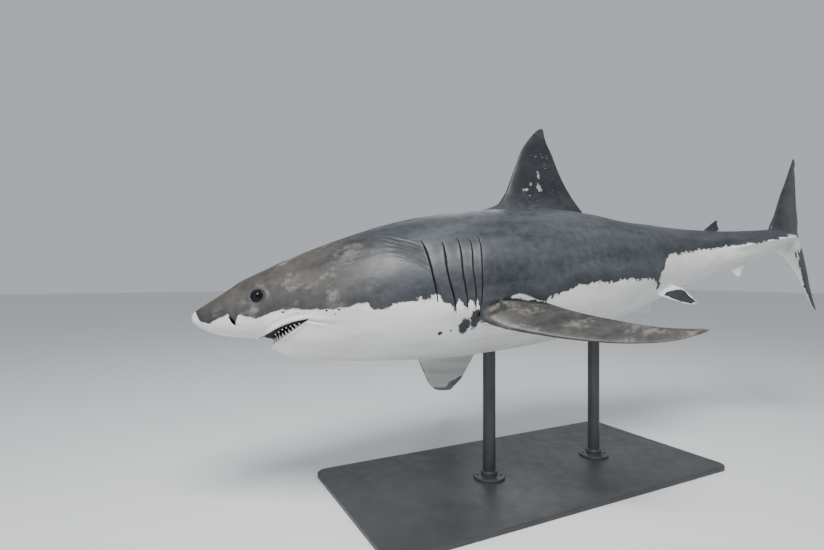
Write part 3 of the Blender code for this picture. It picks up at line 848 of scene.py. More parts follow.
for vert in skin.verts:
    vert[rest_layer] = vert.co
    if vert[level_layer] < 1 and NOSE + 0.01 < vert.co.x < SMOOTH_FROM:
        station, left, up = vert.co
        fade = clamped((SMOOTH_FROM - station) / 8) * min(1, abs(left) / 0.3 + 0.6) * (1 - vert[level_layer])
        vert.co += outward(vert.co) * relief(station, left, up) * fade
at_the_back = within(30.2, 34.8, -5.4, -3.1)
behind_root = [vert for vert in skin.verts
               if vert.co.y > 0 and vert[level_layer] < 0.9 and at_the_back(*vert.co)]
soften(behind_root, SHOULDER_PASSES)
print("Raised the face and the gills, and softened", len(behind_root), "points behind the left fin's root")

# %% [markdown]
# ## Openings
#
# The outlines drawn before are now pushed in to make pockets. The eye socket widens behind its rim,
# so that the ball fills the opening but touches nothing. The gill slits go straight in. Each point
# of a pocket is marked with its depth, for the painted shade inside: the deeper, the darker.

# %% Eye sockets, nostrils and gill pockets
SOCKET = ((0.10, 1.06, 0.5), (0.27, 1.20, 0.8), (0.80, 1.12, 1), (1.05, 0.8, 1))
NOSTRIL_POCKET = ((0.12, 0.92, 0.9), (0.32, 0.75, 1), (0.55, 0.4, 1))
SLIT_POCKET = ((0.08, 1, 1), (0.34, 1, 1), (0.55, 0.6, 1))


def sink(faces, centre, steps):
    """Pushes a patch in by steps of (depth, size about a centre, painted shade)."""
    for deep, size, dark in steps:
        faces = push_out(faces)
        for vert in {vert for face in faces for vert in face.verts}:
            rest = vert[rest_layer].copy()
            middle = centre(rest)
            aside = Vector((rest.x - middle[0], 0, rest.z - middle[1])) * (size - 1)
            vert.co = rest - outward(rest) * deep + aside
            vert[depth_layer] = dark


def slit_middle(table):
    return lambda spot: (float(np.interp(spot.z, *table)), spot.z)


for side in (1, -1):
    def on_side(region):
        return lambda station, left, up: left * side > 0.2 and region(station, left, up)

    sink(faces_inside(eye_rule, on_side(eye_region)), lambda spot: EYE, SOCKET)
    nostril_middle = [(a + b) / 2 for a, b in zip(*NOSTRIL)]
    sink(faces_inside(nostril_rule, on_side(nostril_region)), lambda spot: nostril_middle, NOSTRIL_POCKET)
    for table in slit_tables:
        sink(faces_inside(slit_rule(table), on_side(slit_region(table))), slit_middle(table), SLIT_POCKET)
print("Opened the eye sockets, the nostrils and", 2 * len(slit_tables), "gill slits")

# %% [markdown]
# The mouth is one large pocket. Every point of it moves from the lips towards the throat in a few
# steps. First the roof and the floor come closer, which makes the ridge of gum that carries the
# teeth. Then they are bowed apart. `gap` tells them apart: it is 1 on the upper lip, -1 on the lower
# lip and 0 at the corners.

# %% The mouth
MOUTH_STEPS = (0.012, 0.028, 0.045, 0.065, 0.09, 0.12, 0.17, 0.28, 0.45, 0.65, 0.85)
# How much painted shade each step of the mouth gets: the deeper, the darker.
MOUTH_SHADE = (0.1, 0.5, 0.7, 0.8, 0.9, 1, 1, 1, 1, 1, 1)
BOW = (0, 0.01, -0.06, -0.18, -0.26, -0.24, -0.08, 0.15, 0.40, 0.50, 0.50, 0.45)
WIDE_OPEN = 1.2
LOWER_GUM = 0.08
FRONT_GUM_END = 8.5
RIM_PASSES = 6
OPENINGS_END = 30
SHALLOW = 0.3
CHIN_REACH = 1.5
THROAT = Vector((11.8, 0, -2.3))
THROAT_HEIGHT = 0.8


def mouth_gap(spot):
    below, before = abs(under_upper_lip(*spot)), abs(before_lower_lip(*spot))
    return (before - below) / max(below + before, 1e-6)


def mouth_opening(station):
    return upper_lip(station) - lower_lip(max(CHIN, station))


def mouth_point(rest, share):
    """Where a point of the mouth lies after this share of the way to the throat."""
    gap = mouth_gap(rest)
    throat = THROAT + Vector((0, 0, gap * THROAT_HEIGHT))
    bow = float(np.interp(share, (0, *MOUTH_STEPS), BOW)) * min(1, mouth_opening(rest.x) / WIDE_OPEN)
    if bow < 0 < gap:
        bow *= 1 + 0.5 * clamped(FRONT_GUM_END - rest.x)
    return rest.lerp(throat, share) + Vector((0, 0, gap * bow))


faces = faces_inside(mouth_rule, mouth_region)
for share, dark in zip(MOUTH_STEPS, MOUTH_SHADE):
    faces = push_out(faces)
    for vert in {vert for face in faces for vert in face.verts}:
        lower = clamped(-3 * mouth_gap(vert[rest_layer]))
        vert.co = mouth_point(vert[rest_layer].copy(), share)
        vert[depth_layer] = dark * (1 - 0.88 * lower * (share < LOWER_GUM))


def next_to_deep(vert):
    beside = [edge.other_vert(vert) for edge in vert.link_edges]
    return vert[rest_layer].x < OPENINGS_END and any(other[depth_layer] > 0 for other in beside)


rims = [vert for vert in skin.verts if vert[depth_layer] < SHALLOW and next_to_deep(vert)]
edge_line = {vert: [edge.other_vert(vert) for edge in vert.link_edges] for vert in rims
             if vert[depth_layer] == 0}
edge_line = {vert: [other for other in others if other in edge_line] for vert, others in edge_line.items()}
for _ in range(RIM_PASSES):
    moved = {vert: vert.co / 2 + (others[0].co + others[1].co) / 4 for vert, others in edge_line.items()
             if len(others) == 2}
    for vert, spot in moved.items():
        vert.co = spot
chin_spot = Vector((CHIN, 0, LOWER_LIP[-1][1]))
chin = [vert for vert in skin.verts if vert[depth_layer] < SHALLOW and vert[rest_layer].z < -3.5
        and (vert[rest_layer] - chin_spot).length < CHIN_REACH]
soften(rims, 2, 0.4)
soften(chin, 12, 0.4)
print(f"Opened the mouth and rounded {len(rims)} points of the rims and {len(chin)} of the chin")

# %% [markdown]
# ## What the paint needs to know
#
# The colours follow the body, not the world: dark above and white below, with a ragged border that
# dips at the gills. The border's height at each station is a list, and every point stores how far it
# is above it, as `grey`. The fins have rules of their own. The shader adds the raggedness.

# %% Where the skin is grey
BORDER = [
    (0, 1.2), (0.5, 0.9), (0.75, 0.6), (0.95, 0.1), (1.2, -0.45), (1.65, -0.7), (2.15, -0.75), (2.6, -0.5),
    (2.8, -0.4), (3.6, -0.33), (3.9, -0.1), (4.05, -0.9), (4.4, -1.2), (4.8, -0.4), (5.5, -0.6),
    (6.4, -1.0), (7.4, -0.8), (8.8, -0.6), (10.2, -0.7), (11.5, -1.0), (12.9, -1.2), (14.2, -1.3),
    (15.5, -1.2), (16.0, -0.9), (16.9, -2.1), (18.5, -1.7), (20.3, -1.5), (21.9, -1.4), (22.4, -1.1),
    (22.7, -1.9), (23.9, -3.1), (24.3, -2.0), (24.8, -3.0), (25.2, -2.9), (25.4, -2.1), (26.0, -2.9),
    (26.2, -2.2), (26.5, -3.4), (26.7, -4.6), (29.3, -4.2), (29.7, -2.95), (30.3, -2.48), (31.2, -2.38),
    (32.0, -2.52), (33.1, -3.0), (34.1, -3.5), (34.9, -3.4), (37.2, -2.9), (39.3, -2.3), (41.4, -2.2),
    (46.2, -2.5), (49.0, -2.4), (54.4, -2.9), (55.2, -3.3), (55.8, -3.6), (56.0, -2.9), (56.2, -2.2),
    (57.1, -1.6), (57.6, -0.4), (58.3, -0.3), (58.7, 0.2), (59.9, 0), (63.9, 0.2), (66.8, 0.4), (70.1, 0.3),
    (73.3, 0.3), (75.0, 0.4), (75.3, 0), (83.8, 0.3), (89.0, 0.2), (90.5, 0.0), (100, 0),
]
border_at, border_up = zip(*BORDER)
SNOUT_END, WARM_END, RAGGED_START = 6.5, 19, 15


def fin_paint(name, share, side, out):
    """How grey and how dark a place on a fin is."""
    out_at, lead_at, trail_at = zip(*FINS[name].outline)
    tip = out_at[-1]
    far = max(0, out) / tip
    chord = float(np.interp(out, out_at, trail_at)) - float(np.interp(out, out_at, lead_at))
    ahead, behind = share * chord, (1 - share) * chord
    if name in ("dorsal", "second_dorsal", "tail_upper"):
        return 2, 0.6 + 0.35 * min(1, far * 4)
    if name == "anal":
        return -2, 0
    if name == "tail_lower":
        return (share - 0.74 * max(0, 1 - max(0, far - 0.1) / 0.60)) * 4, 0.85
    if name.endswith("pelvic"):
        return (min(ahead * 2, behind, (1 - far) * tip) - 0.32) * 1.1 if side > 0 else -1.5, 0.8
    # On the pectorals' upper sides the leading edge is darker: painted shade along the edge, on the fin's own
    # slight darkness.
    if side > 0:
        return 2, 0.1 + 0.6 * max(0, 1 - ahead / 0.5)
    rim = min(0.6 * behind + 4 * max(0, 0.62 - far), 0.23 * (1 - far) * tip)
    return max((0.8 - rim) * 2, (0.12 - ahead) * 4), 1


# One mark holds how dark a place is: the fins' own darkness, and painted shade at the eye, the crease and the
# pectorals' leading edges.
grey_layer, dark_and_shade_layer, warm_layer, ragged_layer, snout_layer = (
    skin.verts.layers.float.new(name) for name in ("grey", "dark_and_shade", "warm", "ragged", "snout"))
straight_layer = skin.verts.layers.float_vector.new("straight")
for vert in skin.verts:
    station, left, up = vert[rest_layer]
    name, level = FIN_NAME.get(vert[fin_layer], ""), vert[level_layer]
    grey, dark_and_shade = up - float(np.interp(station, border_at, border_up)), 0
    if level:
        fin_grey, fin_dark_and_shade = fin_paint(name, vert[chord_layer], vert[side_layer], vert[out_layer])
        share = min(1, level)
        grey, dark_and_shade = grey * (1 - share) + fin_grey * share, fin_dark_and_shade * share
    # A dark ring just outside the eye's opening is painted shade at the socket's rim.
    dark_and_shade += 0.7 * bump(max(0, from_eye(station, up) - EYE_OPENING), 0.10)
    warm = clamped((WARM_END - station) / 7) if not level else 0.8 * name.endswith("pectoral")
    if MUSCLE_FRONT < station < MUSCLE_BACK and left > 0 and level < 0.9:
        below = below_crease(station, up)
        # A dark line along the crease is a painted shadow where the left pectoral fin meets the body.
        axil_shadow = bump(below, 0.13) * eased((station - 27.2) / 0.6) * eased((34.2 - station) / 0.6)
        on_muscle = eased(below / 0.12) * eased((up + 4.3) / 0.15)
        grey = grey * (1 - on_muscle) + 2 * on_muscle
        warm = max(warm, 0.8 * on_muscle)
        grey, dark_and_shade = max(grey, 2 * axil_shadow - 0.6), max(dark_and_shade, axil_shadow)
    vert[grey_layer], vert[dark_and_shade_layer], vert[warm_layer] = grey, dark_and_shade, warm
    clean = 29.2 < station < 34.4 and up < -2 and not level
    vert[ragged_layer] = 0.12 if clean else 0.3 + 0.7 * clamped((station - RAGGED_START) / 4)
    vert[snout_layer] = clamped((SNOUT_END - station) / 3) if not level else 0
    vert[straight_layer] = Vector(vert.co) * PERCENT
print("Marked every point of the skin with its paint")

# %% [markdown]
# ## Bending the fish
#
# All the flesh is straight until here. `bend` lays it along the spine and puts it where the frame
# has it. It also mirrors the mesh, because left is the second axis of the straight fish, so the
# normals are worked out again.

# %% The skin becomes a piece
FLESH = ["head", "lower_jaw", "neck", "trunk_front", "trunk_rear", "tail_stem", "first_dorsal_fin",
         "second_dorsal_fin", "anal_fin", "tail_fin_upper", "tail_fin_lower", "pectoral_fin_left",
         "pectoral_fin_right", "pelvic_fin_left", "pelvic_fin_right"]


def add_piece(name, shape, is_straight=False):
    """Makes an object from a bmesh, bent along the spine if it was modelled straight."""
    if is_straight:
        verts = list(shape.verts)
        for vert, spot in zip(verts, bend([vert.co for vert in verts])):
            vert.co = spot
    bmesh.ops.recalc_face_normals(shape, faces=shape.faces)
    mesh = bpy.data.meshes.new(name)
    shape.to_mesh(mesh)
    shape.free()
    mesh.shade_smooth()
    piece = bpy.data.objects.new(name, mesh)
    bpy.context.collection.objects.link(piece)
    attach(piece, "root")
    return piece


shark_skin = add_piece("shark_skin", skin, is_straight=True)
marks = shark_skin.data.attributes
for spare in ("rest", "slip", "chord", "side", "out", "root", "fin", "level"):
    if spare in marks:
        marks.remove(marks[spare])
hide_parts(*FLESH)
triangles = sum(len(polygon.vertices) - 2 for polygon in shark_skin.data.polygons)
print(f"The skin has {triangles} triangles")

# %% [markdown]
# ## Teeth
#
# The teeth of a great white are broad flat triangles, in a row along each jaw, with small gaps. One
# tooth is a cone of a few sides, pressed flat, cut into levels and drawn in a little at the sides.
# It is copied along each lip at equal steps. The teeth get smaller towards the corners, and those of
# the upper jaw hardly show below the lip.

# %% Rows of teeth
TOOTH_SIDES = 10
TOOTH_STEP = 0.47
TOOTH_DEPTH = 0.075
TOOTH_BURIED = 0.14
TO_LAST_TOOTH = 0.75
LIP_POINTS = 120


def lip_path(row):
    """Points along one lip on the left side, from the middle to the corner."""
    if row == "upper":
        line = [(at, upper_lip(at)) for at in np.linspace(MOUTH_FRONT + 0.02, MOUTH_CORNER, LIP_POINTS)]
    else:
        ups = np.linspace(jaw_heights[0], jaw_heights[-1], LIP_POINTS)
        line = zip(np.interp(ups, jaw_heights, jaw_stations), ups)
    return np.array([(at, skin_left(at, up), up) for at, up in line])


def tooth_shape():
    """One tooth, a unit wide and a unit high, with its root at 0."""
    shape = bmesh.new()
    bmesh.ops.create_cone(shape, cap_ends=True, segments=TOOTH_SIDES, radius1=0.5, radius2=0.06, depth=1)
    uprights = [edge for edge in shape.edges if abs(edge.verts[0].co.z - edge.verts[1].co.z) > 0.5]
    bmesh.ops.subdivide_edges(shape, edges=uprights, cuts=3)
    for vert in shape.verts:
        x, y, z = vert.co
        share = z + 0.5
        pull = 1 - 0.14 * math.sin(math.pi * share) ** 2 * (1 - 0.4 * share)
        vert.co = (x * pull, y * 0.32, share)
    mesh = bpy.data.meshes.new("tooth")
    shape.to_mesh(mesh)
    shape.free()
    return mesh


def add_tooth(shape, mesh, root, along, inward, tip_way, width, height):
    """Adds a tooth that stands on its root and leans inward towards its tip."""
    before = len(shape.verts)
    shape.from_mesh(mesh)
    shape.verts.ensure_lookup_table()
    for vert in shape.verts[before:]:
        x, y, share = vert.co
        lean = inward * (y * width + 0.10 * share * share * height)
        vert.co = root + along * x * width + lean + tip_way * (share * (height + TOOTH_BURIED) - TOOTH_BURIED)


def add_teeth(name, row, size, way, slimness):
    path = lip_path(row)
    travelled = np.concatenate([[0], np.cumsum(np.linalg.norm(np.diff(path, axis=0), axis=1))])
    shape = bmesh.new()
    spots = np.arange(TOOTH_STEP / 2, travelled[-1] - TO_LAST_TOOTH, TOOTH_STEP)
    for side in (1, -1):
        for k, travel in enumerate(spots):
            lip, ahead = (Vector([float(np.interp(at, travelled, path[:, axis])) for axis in range(3)])
                          for at in (travel, travel + 0.1))
            root = mouth_point(lip, TOOTH_DEPTH)
            along = (ahead - lip).normalized()
            tip_way = Vector((0, 0, way))
            tip_way = (tip_way - along * tip_way.dot(along)).normalized()
            inward = (-outward(lip) - Vector((0, 0, -outward(lip).z)) * 0.7).normalized()
            fresh = noise.noise(Vector((k * 1.7, side * 3.1, way)))
            height = min(size, 0.38 * mouth_opening(lip.x)) * (1 + 0.22 * fresh)
            width = TOOTH_STEP * slimness * min(1, 0.55 + height / size * 0.5)
            mirrored = [Vector((v[0], v[1] * side, v[2])) for v in (root, along, inward, tip_way)]
            add_tooth(shape, one_tooth, *mirrored, width, height)
    piece = add_piece(name, shape, is_straight=True)
    print(f"{name}: {2 * len(spots)} teeth")
    return piece


one_tooth = tooth_shape()
upper_teeth = add_teeth("upper_teeth", "upper", 0.16, -1, 0.74)
lower_teeth = add_teeth("lower_teeth", "lower", 0.36, 1, 0.98)

# %% [markdown]
# The tongue is a flat, blunt pad on the floor of the mouth. A ball is pressed flat, its front is
# rounded off, and a shallow groove runs down its middle.

# %% The tongue
TONGUE_AT = Vector((9.75, 0, -3.15))
TONGUE_SIZE = (2.15, 2.3, 0.72)


def add_tongue():
    pad = bmesh.new()
    bmesh.ops.create_uvsphere(pad, u_segments=36, v_segments=24, radius=1)
    for vert in pad.verts:
        x, y, z = vert.co
        groove = 0.10 * bump(y, 0.16) * max(0, z)
        vert.co = TONGUE_AT + Vector((x * TONGUE_SIZE[0], y * TONGUE_SIZE[1], (z - groove) * TONGUE_SIZE[2]))
    piece = add_piece("tongue", pad, is_straight=True)
    return piece


tongue = add_tongue()
print(f"The tongue is {2 * TONGUE_SIZE[1] * PERCENT * 1000:.0f} mm wide")

# %% [markdown]
# ## Eyes
#
# The eye of a great white is very large and looks black. Close up it has a dark blue iris round a
# wide pupil. The ball is a fine UV sphere with its poles to the left and right, and it bulges a
# little at the front like a real cornea. Each point stores how far it is from the ball's axis, so
# that the iris can be painted as a ring.

# %% Eyeballs
CORNEA = 0.05
CORNEA_WIDTH = 0.55
EYE_GAP = 0.004


def add_eye(name, side):
    ball = bmesh.new()
    ring_mark = ball.verts.layers.float.new("ring")
    bmesh.ops.create_uvsphere(ball, u_segments=48, v_segments=32, radius=1)
    centre = eye_centre(side)
    for vert in ball.verts:
        x, y, z = vert.co
        from_axis = math.hypot(x, y)
        vert[ring_mark] = from_axis if z > 0 else 2
        size = EYE_RADIUS * (1 + CORNEA * bump(from_axis, CORNEA_WIDTH) * (z > 0)) - EYE_GAP
        vert.co = centre + Vector((x, side * z, y)) * size
    piece = add_piece(name, ball, is_straight=True)
    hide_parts(name)
    return piece


eyes = [add_eye("eye_left", 1), add_eye("eye_right", -1)]
print("Each eyeball is", round(2 * EYE_RADIUS * PERCENT * 1000), "mm across")

# %% [markdown]
# ## The stand
#
# A whole shark is heavy, so it stands on two steel rods in a long steel base. A sheet of steel has
# rounded corners and slightly rounded edges. Each rod has a foot: a round flange held by screws.

# %% Base, rods and feet
BASE_CORNER = 0.06
BASE_ROUND = 0.004
ROD_RADIUS = 0.03
FLANGE_RADIUS = 0.075
FLANGE_HEIGHT = 0.012
FLANGE_ROUND = 0.004
COLLAR = 0.009
COLLAR_ROUND = 0.006
SCREWS = 6
SCREW_CIRCLE = 0.056
SCREW_RADIUS = 0.0065
SCREW_HEIGHT = 0.005
SCREW_ROUND = 0.002
SHARP = math.radians(40)


def rounded(shape, edges, size, steps):
    bmesh.ops.bevel(shape, geom=edges, offset=size, segments=steps, affect="EDGES", profile=0.5, material=-1)


def add_base():
    low, high = (Vector(corner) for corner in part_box("stand_base"))
    shape = bmesh.new()
    bmesh.ops.create_cube(shape, size=1)
    bmesh.ops.scale(shape, verts=shape.verts, vec=high - low)
    bmesh.ops.translate(shape, verts=shape.verts, vec=(low + high) / 2)
    rounded(shape, [e for e in shape.edges if abs(e.verts[0].co.z - e.verts[1].co.z) > 1e-6], BASE_CORNER, 10)
    rim = [e for e in shape.edges if min(v.co.z for v in e.verts) > high.z - 1e-6]
    rounded(shape, rim, BASE_ROUND, 4)
    piece = add_piece("stand_plate", shape)
    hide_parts("stand_base")
    return piece, high.z


def add_drum(shape, x, y, bottom, top, radius, edge=0.0, sides=48):
    """A round block, with its upper edge rounded."""
    drum = bmesh.ops.create_cone(shape, cap_ends=True, segments=sides, radius1=radius, radius2=radius,
                                 depth=top - bottom)
    bmesh.ops.translate(shape, verts=drum["verts"], vec=(x, y, (bottom + top) / 2))
    if edge:
        around = dict.fromkeys(e for v in drum["verts"] for e in v.link_edges)
        rounded(shape, [e for e in around if min(v.co.z for v in e.verts) > top - 1e-6], edge, 4)


def add_rod(name, node, plate_top):
    low, high = (Vector(corner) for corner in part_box(node))
    x, y = (low.x + high.x) / 2, (low.y + high.y) / 2
    shape = bmesh.new()
    flange_top = plate_top + FLANGE_HEIGHT
    add_drum(shape, x, y, plate_top, high.z, ROD_RADIUS)
    add_drum(shape, x, y, plate_top, flange_top, FLANGE_RADIUS, FLANGE_ROUND)
    add_drum(shape, x, y, flange_top, flange_top + 2 * FLANGE_HEIGHT, ROD_RADIUS + COLLAR, COLLAR_ROUND)
    for k in range(SCREWS):
        turn = math.tau * (k + 0.5) / SCREWS
        spot = (x + SCREW_CIRCLE * math.cos(turn), y + SCREW_CIRCLE * math.sin(turn))
        add_drum(shape, *spot, flange_top, flange_top + SCREW_HEIGHT, SCREW_RADIUS, SCREW_ROUND, 20)
    piece = add_piece(name, shape)
    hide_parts(node)
    return piece


plate, plate_top = add_base()
rods = [add_rod("stand_post_" + end, "stand_rod_" + end, plate_top) for end in ("front", "rear")]
for piece in [plate] + rods:
    edges = bmesh.new()
    edges.from_mesh(piece.data)
    for edge in edges.edges:
        edge.smooth = len(edge.link_faces) == 2 and edge.calc_face_angle() < SHARP
    edges.to_mesh(piece.data)
    edges.free()
print("The plate's top is", round(plate_top * 1000), "mm above the floor")

# %% [markdown]
# ## Making materials
#
# A finish is a net of nodes: noises, ranges, blends of two colours and bumps. A `Field` is one
# node's output, a value that differs from place to place. Fields add and multiply like numbers, and
# every such step becomes a Math node, so that the nets read like sums.

# %% Helpers for materials
class Field:
    """A value or colour that differs from place to place: the output of a node."""

    def __init__(self, socket):
        self.socket = socket

    def __abs__(self):
        return calc("ABSOLUTE", self)


def connect(node, inputs):
    """Links the fields to a node's sockets, and sets plain values on them."""
    for key, value in inputs.items():
        socket = node.inputs[key]
        if isinstance(value, Field):
            tree.links.new(value.socket, socket)
        else:
            socket.default_value = (*value, 1) if socket.type == "RGBA" else value


def add_node(kind, inputs, output=0, **settings):
    node = tree.nodes.new("ShaderNode" + kind)
    for key, value in settings.items():
        setattr(node, key, value)
    connect(node, inputs)
    return Field(node.outputs[output])


def calc(operation, *values):
    return add_node("Math", dict(enumerate(values)), operation=operation)


for sign, operation in (("add", "ADD"), ("sub", "SUBTRACT"), ("mul", "MULTIPLY"), ("truediv", "DIVIDE"),
                        ("pow", "POWER")):
    setattr(Field, f"__{sign}__", lambda one, other, operation=operation: calc(operation, one, other))


def new_look(name, *pieces):
    """Starts a finish for some pieces. The helpers add their nodes to the newest one."""
    global tree
    look = bpy.data.materials.new(name)
    look.use_nodes = True
    tree = look.node_tree
    for piece in pieces:
        piece.data.materials.append(look)


def paint(inputs):
    """Joins the newest finish's fields and values to its shader."""
    connect(tree.nodes["Principled BSDF"], inputs)


def mark(name, output="Fac"):
    return add_node("Attribute", {}, output, attribute_name=name, attribute_type="GEOMETRY")


def object_place():
    return add_node("TexCoord", {}, "Object")


def stretched(where, scale):
    return add_node("Mapping", {"Vector": where, "Scale": scale}, vector_type="POINT")


def noise_of(where, scale, detail=3.0, rough=0.5):
    inputs = {"Vector": where, "Scale": scale, "Detail": detail, "Roughness": rough}
    return add_node("TexNoise", inputs, "Fac")


def spots_of(where, scale):
    return add_node("TexVoronoi", {"Vector": where, "Scale": scale}, "Distance")


def ranged(value, low, high, to_low=0.0, to_high=1.0, smoothly=False):
    inputs = {"Value": value, "From Min": low, "From Max": high, "To Min": to_low, "To Max": to_high}
    return add_node("MapRange", inputs, interpolation_type="SMOOTHSTEP" if smoothly else "LINEAR")


def blended(share, first, second):
    return add_node("Mix", {0: share, 6: first, 7: second}, 2, data_type="RGBA")


def bumped(height, distance, strength=1.0, **normal):
    return add_node("Bump", {"Height": height, "Distance": distance, "Strength": strength, **normal})


print("The helpers are ready")

# %% [markdown]
# ## The skin's colours
#
# The back is slate grey with soft mottling that is drawn out along the body, and the belly is white.
# The border between them is ragged on the flank and clean on the head. The head and the pectoral
# fins are browner, with pale patches that are painted pools of light.

# %% Skin of a great white
SLATE_DARK = (0.017, 0.021, 0.027)
SLATE_LIGHT = (0.066, 0.074, 0.085)
BROWN_DARK = (0.021, 0.020, 0.019)
BROWN_LIGHT = (0.082, 0.076, 0.070)
BROWN_PAINTED_LIGHT = (0.27, 0.25, 0.225)
DARK_FIN_AND_SHADE = (0.009, 0.011, 0.015)
SCAR_PALE = (0.42, 0.40, 0.38)
WHITE = (0.74, 0.745, 0.73)
WHITE_DIRTY = (0.56, 0.565, 0.54)
# The last two colours are painted shade: gums darkened by it, and near black deep in the pockets.
GUM_IN_SHADE = (0.030, 0.017, 0.016)
POCKET_SHADE = (0.008, 0.006, 0.007)

new_look("slate_skin_paint", shark_skin)
where = mark("straight", "Vector")
grey, ragged, dark_and_shade, warm, depth, snout = (mark(name) for name in
                                          ("grey", "ragged", "dark_and_shade", "warm", "depth", "snout"))
ragged_noise = noise_of(where, 9, 2) * 0.9 + noise_of(where, 42, 3, 0.6) * 1.5
border = grey + (ragged_noise - 1.2) * ragged
is_grey = ranged(border, -0.07, 0.07)
print("The border of the grey is laid out")

# %% [markdown]
# Some marks belong to this one animal: pale scars on the dorsal fin, and dark blotches under the
# gills, on the lip and at the tail. Each is an oval seen from the side, with a place and two radii.
# A fine noise is added to the distance from its middle, so that its edge comes out ragged.

# %% Patches with ragged edges
SCARS = [((41.0, 10.95), (0.38, 0.20)), ((42.1, 11.7), (0.20, 0.20)), ((43.7, 12.9), (0.17, 0.55)),
         ((43.4, 11.1), (0.34, 0.50))]
BLOTCHES = [((25.1, -4.75), (0.60, 0.72)), ((26.15, -4.2), (0.52, 0.95)), ((22.75, -5.1), (0.22, 0.19)),
            ((23.8, -5.0), (0.11, 0.09)), ((8.9, -0.80), (0.16, 0.10)), ((12.7, -1.30), (0.11, 0.10)),
            ((13.8, -1.40), (0.15, 0.09)), ((87.0, -2.7), (0.45, 0.55)), ((88.5, -2.5), (0.40, 0.60)),
            ((88.0, -4.2), (0.45, 0.70)), ((56.15, -3.7), (0.40, 0.50))]
wobble = (noise_of(where, 85, 4, 0.75) - 0.5) * 1.6


def patches(places, wobbly):
    """Where the skin, seen from the side, lies in one of a list of ragged ovals."""
    found = None
    for (station, up), (wide, high) in places:
        moved = add_node("Mapping", {
            "Vector": where,
            "Location": (-station / wide, 0, -up / high),
            "Scale": (1 / (wide * PERCENT), 0, 1 / (high * PERCENT)),
        }, vector_type="POINT")
        size = add_node("VectorMath", {0: moved}, "Value", operation="LENGTH")
        inside = ranged(size + wobble * wobbly, 0.92, 1.08, 1, 0)
        found = inside if found is None else calc("MAXIMUM", found, inside)
    return found


scarred = patches(SCARS, 3.0)
blotched = patches(BLOTCHES, 1.0)
print(f"The skin has {len(SCARS)} scars and {len(BLOTCHES)} blotches")

# %% Mottling of the back
drawn_out = stretched(where, (0.35, 1.6, 1.6))
mottle = noise_of(drawn_out, 6, 4, 0.6) * 0.6 + noise_of(where, 30, 5, 0.65) * 0.4
tone = ranged(mottle, 0.36, 0.64)
slate = blended(tone, SLATE_DARK, SLATE_LIGHT)
brown = blended(tone, BROWN_DARK, BROWN_LIGHT)
# The pale patches on the head and the pectoral fins are painted pools of light.
light_pools = noise_of(stretched(where, (0.8, 1.1, 1.3)), 11, 6, 0.7)
brown = blended(ranged(light_pools, 0.51, 0.68, 0, 0.80, smoothly=True), brown, BROWN_PAINTED_LIGHT)
back = blended(warm, slate, brown)
# Just above the white border the grey darkens: painted shade on the lower flank, as if lit from above.
back = blended(ranged(grey, 0.0, 1.7, 0.55, 0, smoothly=True), back, SLATE_DARK)
# Dark fins, and painted shade at the eye's rim, the crease and the pectorals' leading edges, blend to one
# dark colour.
back = blended(dark_and_shade * ranged(tone, 0, 1, 1.0, 0.6), back, DARK_FIN_AND_SHADE)
print("The back is mottled")

# %% Scratches and nicks
scratch = noise_of(stretched(where, (1.0, 5.0, 5.0)), 4.5, 2)
thin = ranged(abs(scratch - 0.5), 0.0, 0.0035, 1, 0)
scars = calc("MAXIMUM", thin * ranged(noise_of(where, 5, 2), 0.58, 0.68, 0, 0.22), scarred * 0.7)
nick = (ranged(noise_of(stretched(where, (1, 1, 2.2)), 70, 2), 0.69, 0.72)
        * ranged(noise_of(where, 9, 1), 0.56, 0.60) * ranged(dark_and_shade, 0.6, 0.8, 0, 0.6))
back = blended(calc("MAXIMUM", scars, nick), back, SCAR_PALE)
print("The back is scarred")

# %% The belly, freckles, pores and gums
freckle = (ranged(noise_of(where, 75, 2), 0.70, 0.74)
           * (ranged(grey, -1.5, -0.2) * ranged(grey, 0.3, 0.0)))
belly = blended(ranged(noise_of(drawn_out, 7, 5, 0.6), 0.42, 0.72), WHITE, WHITE_DIRTY)
belly = blended(calc("MAXIMUM", blotched, freckle), belly, SLATE_DARK)
colour = blended(is_grey, belly, back)
pores = ranged(spots_of(where, 95), 0.10, 0.17, 1, 0) * snout * ranged(noise_of(where, 14), 0.45, 0.6)
colour = blended(pores * 0.65, colour, SLATE_DARK)
# Painted shade inside the mouth, nostrils and gill slits: a dark gum colour, then near black deeper in.
colour = blended(ranged(depth, 0.02, 0.20), colour, GUM_IN_SHADE)
colour = blended(ranged(depth, 0.25, 0.65), colour, POCKET_SHADE)
print("The belly is white, and the mouth is dark inside")

# %% [markdown]
# In front of the gills the skin folds in a few long wrinkles, because the head is turned. They run
# back along the neck and bend down to the first gill slit. The folds are a wave of the height above
# the spine, whose phase falls faster and faster towards the slit.

# %% Folds of the neck
FOLD_PERIOD = 0.56
FOLD_START = 18.5
FOLD_MIDDLE = 4.6
station_at, up_at = (add_node("SeparateXYZ", {0: where}, axis) / PERCENT for axis in "XZ")
past = calc("MAXIMUM", station_at - FOLD_START, 0.0)
phase = up_at + past ** 1.7 * 0.20 + noise_of(where, 10, 2) * 0.8
folds = calc("SINE", phase * (2 * math.pi / FOLD_PERIOD))
at_neck = (ranged(station_at, 18.4, 20.4, smoothly=True)
           * ranged(station_at, 21.7, 21.95, 1, 0, smoothly=True)
           * ranged(abs(phase - FOLD_MIDDLE), 0.6, 1.9, 1, 0, smoothly=True))
# The folds' troughs are painted darker: painted shade in the creases.
colour = blended(ranged(folds, -0.2, -0.9) * at_neck * 0.6, colour, SLATE_DARK)
print(f"The neck's folds are {FOLD_PERIOD * PERCENT * 1000:.0f} mm apart")

# %% [markdown]
# A shark's skin is a coat of tiny scales, too small to see one by one. They show as a soft sheen
# with a fine grain.

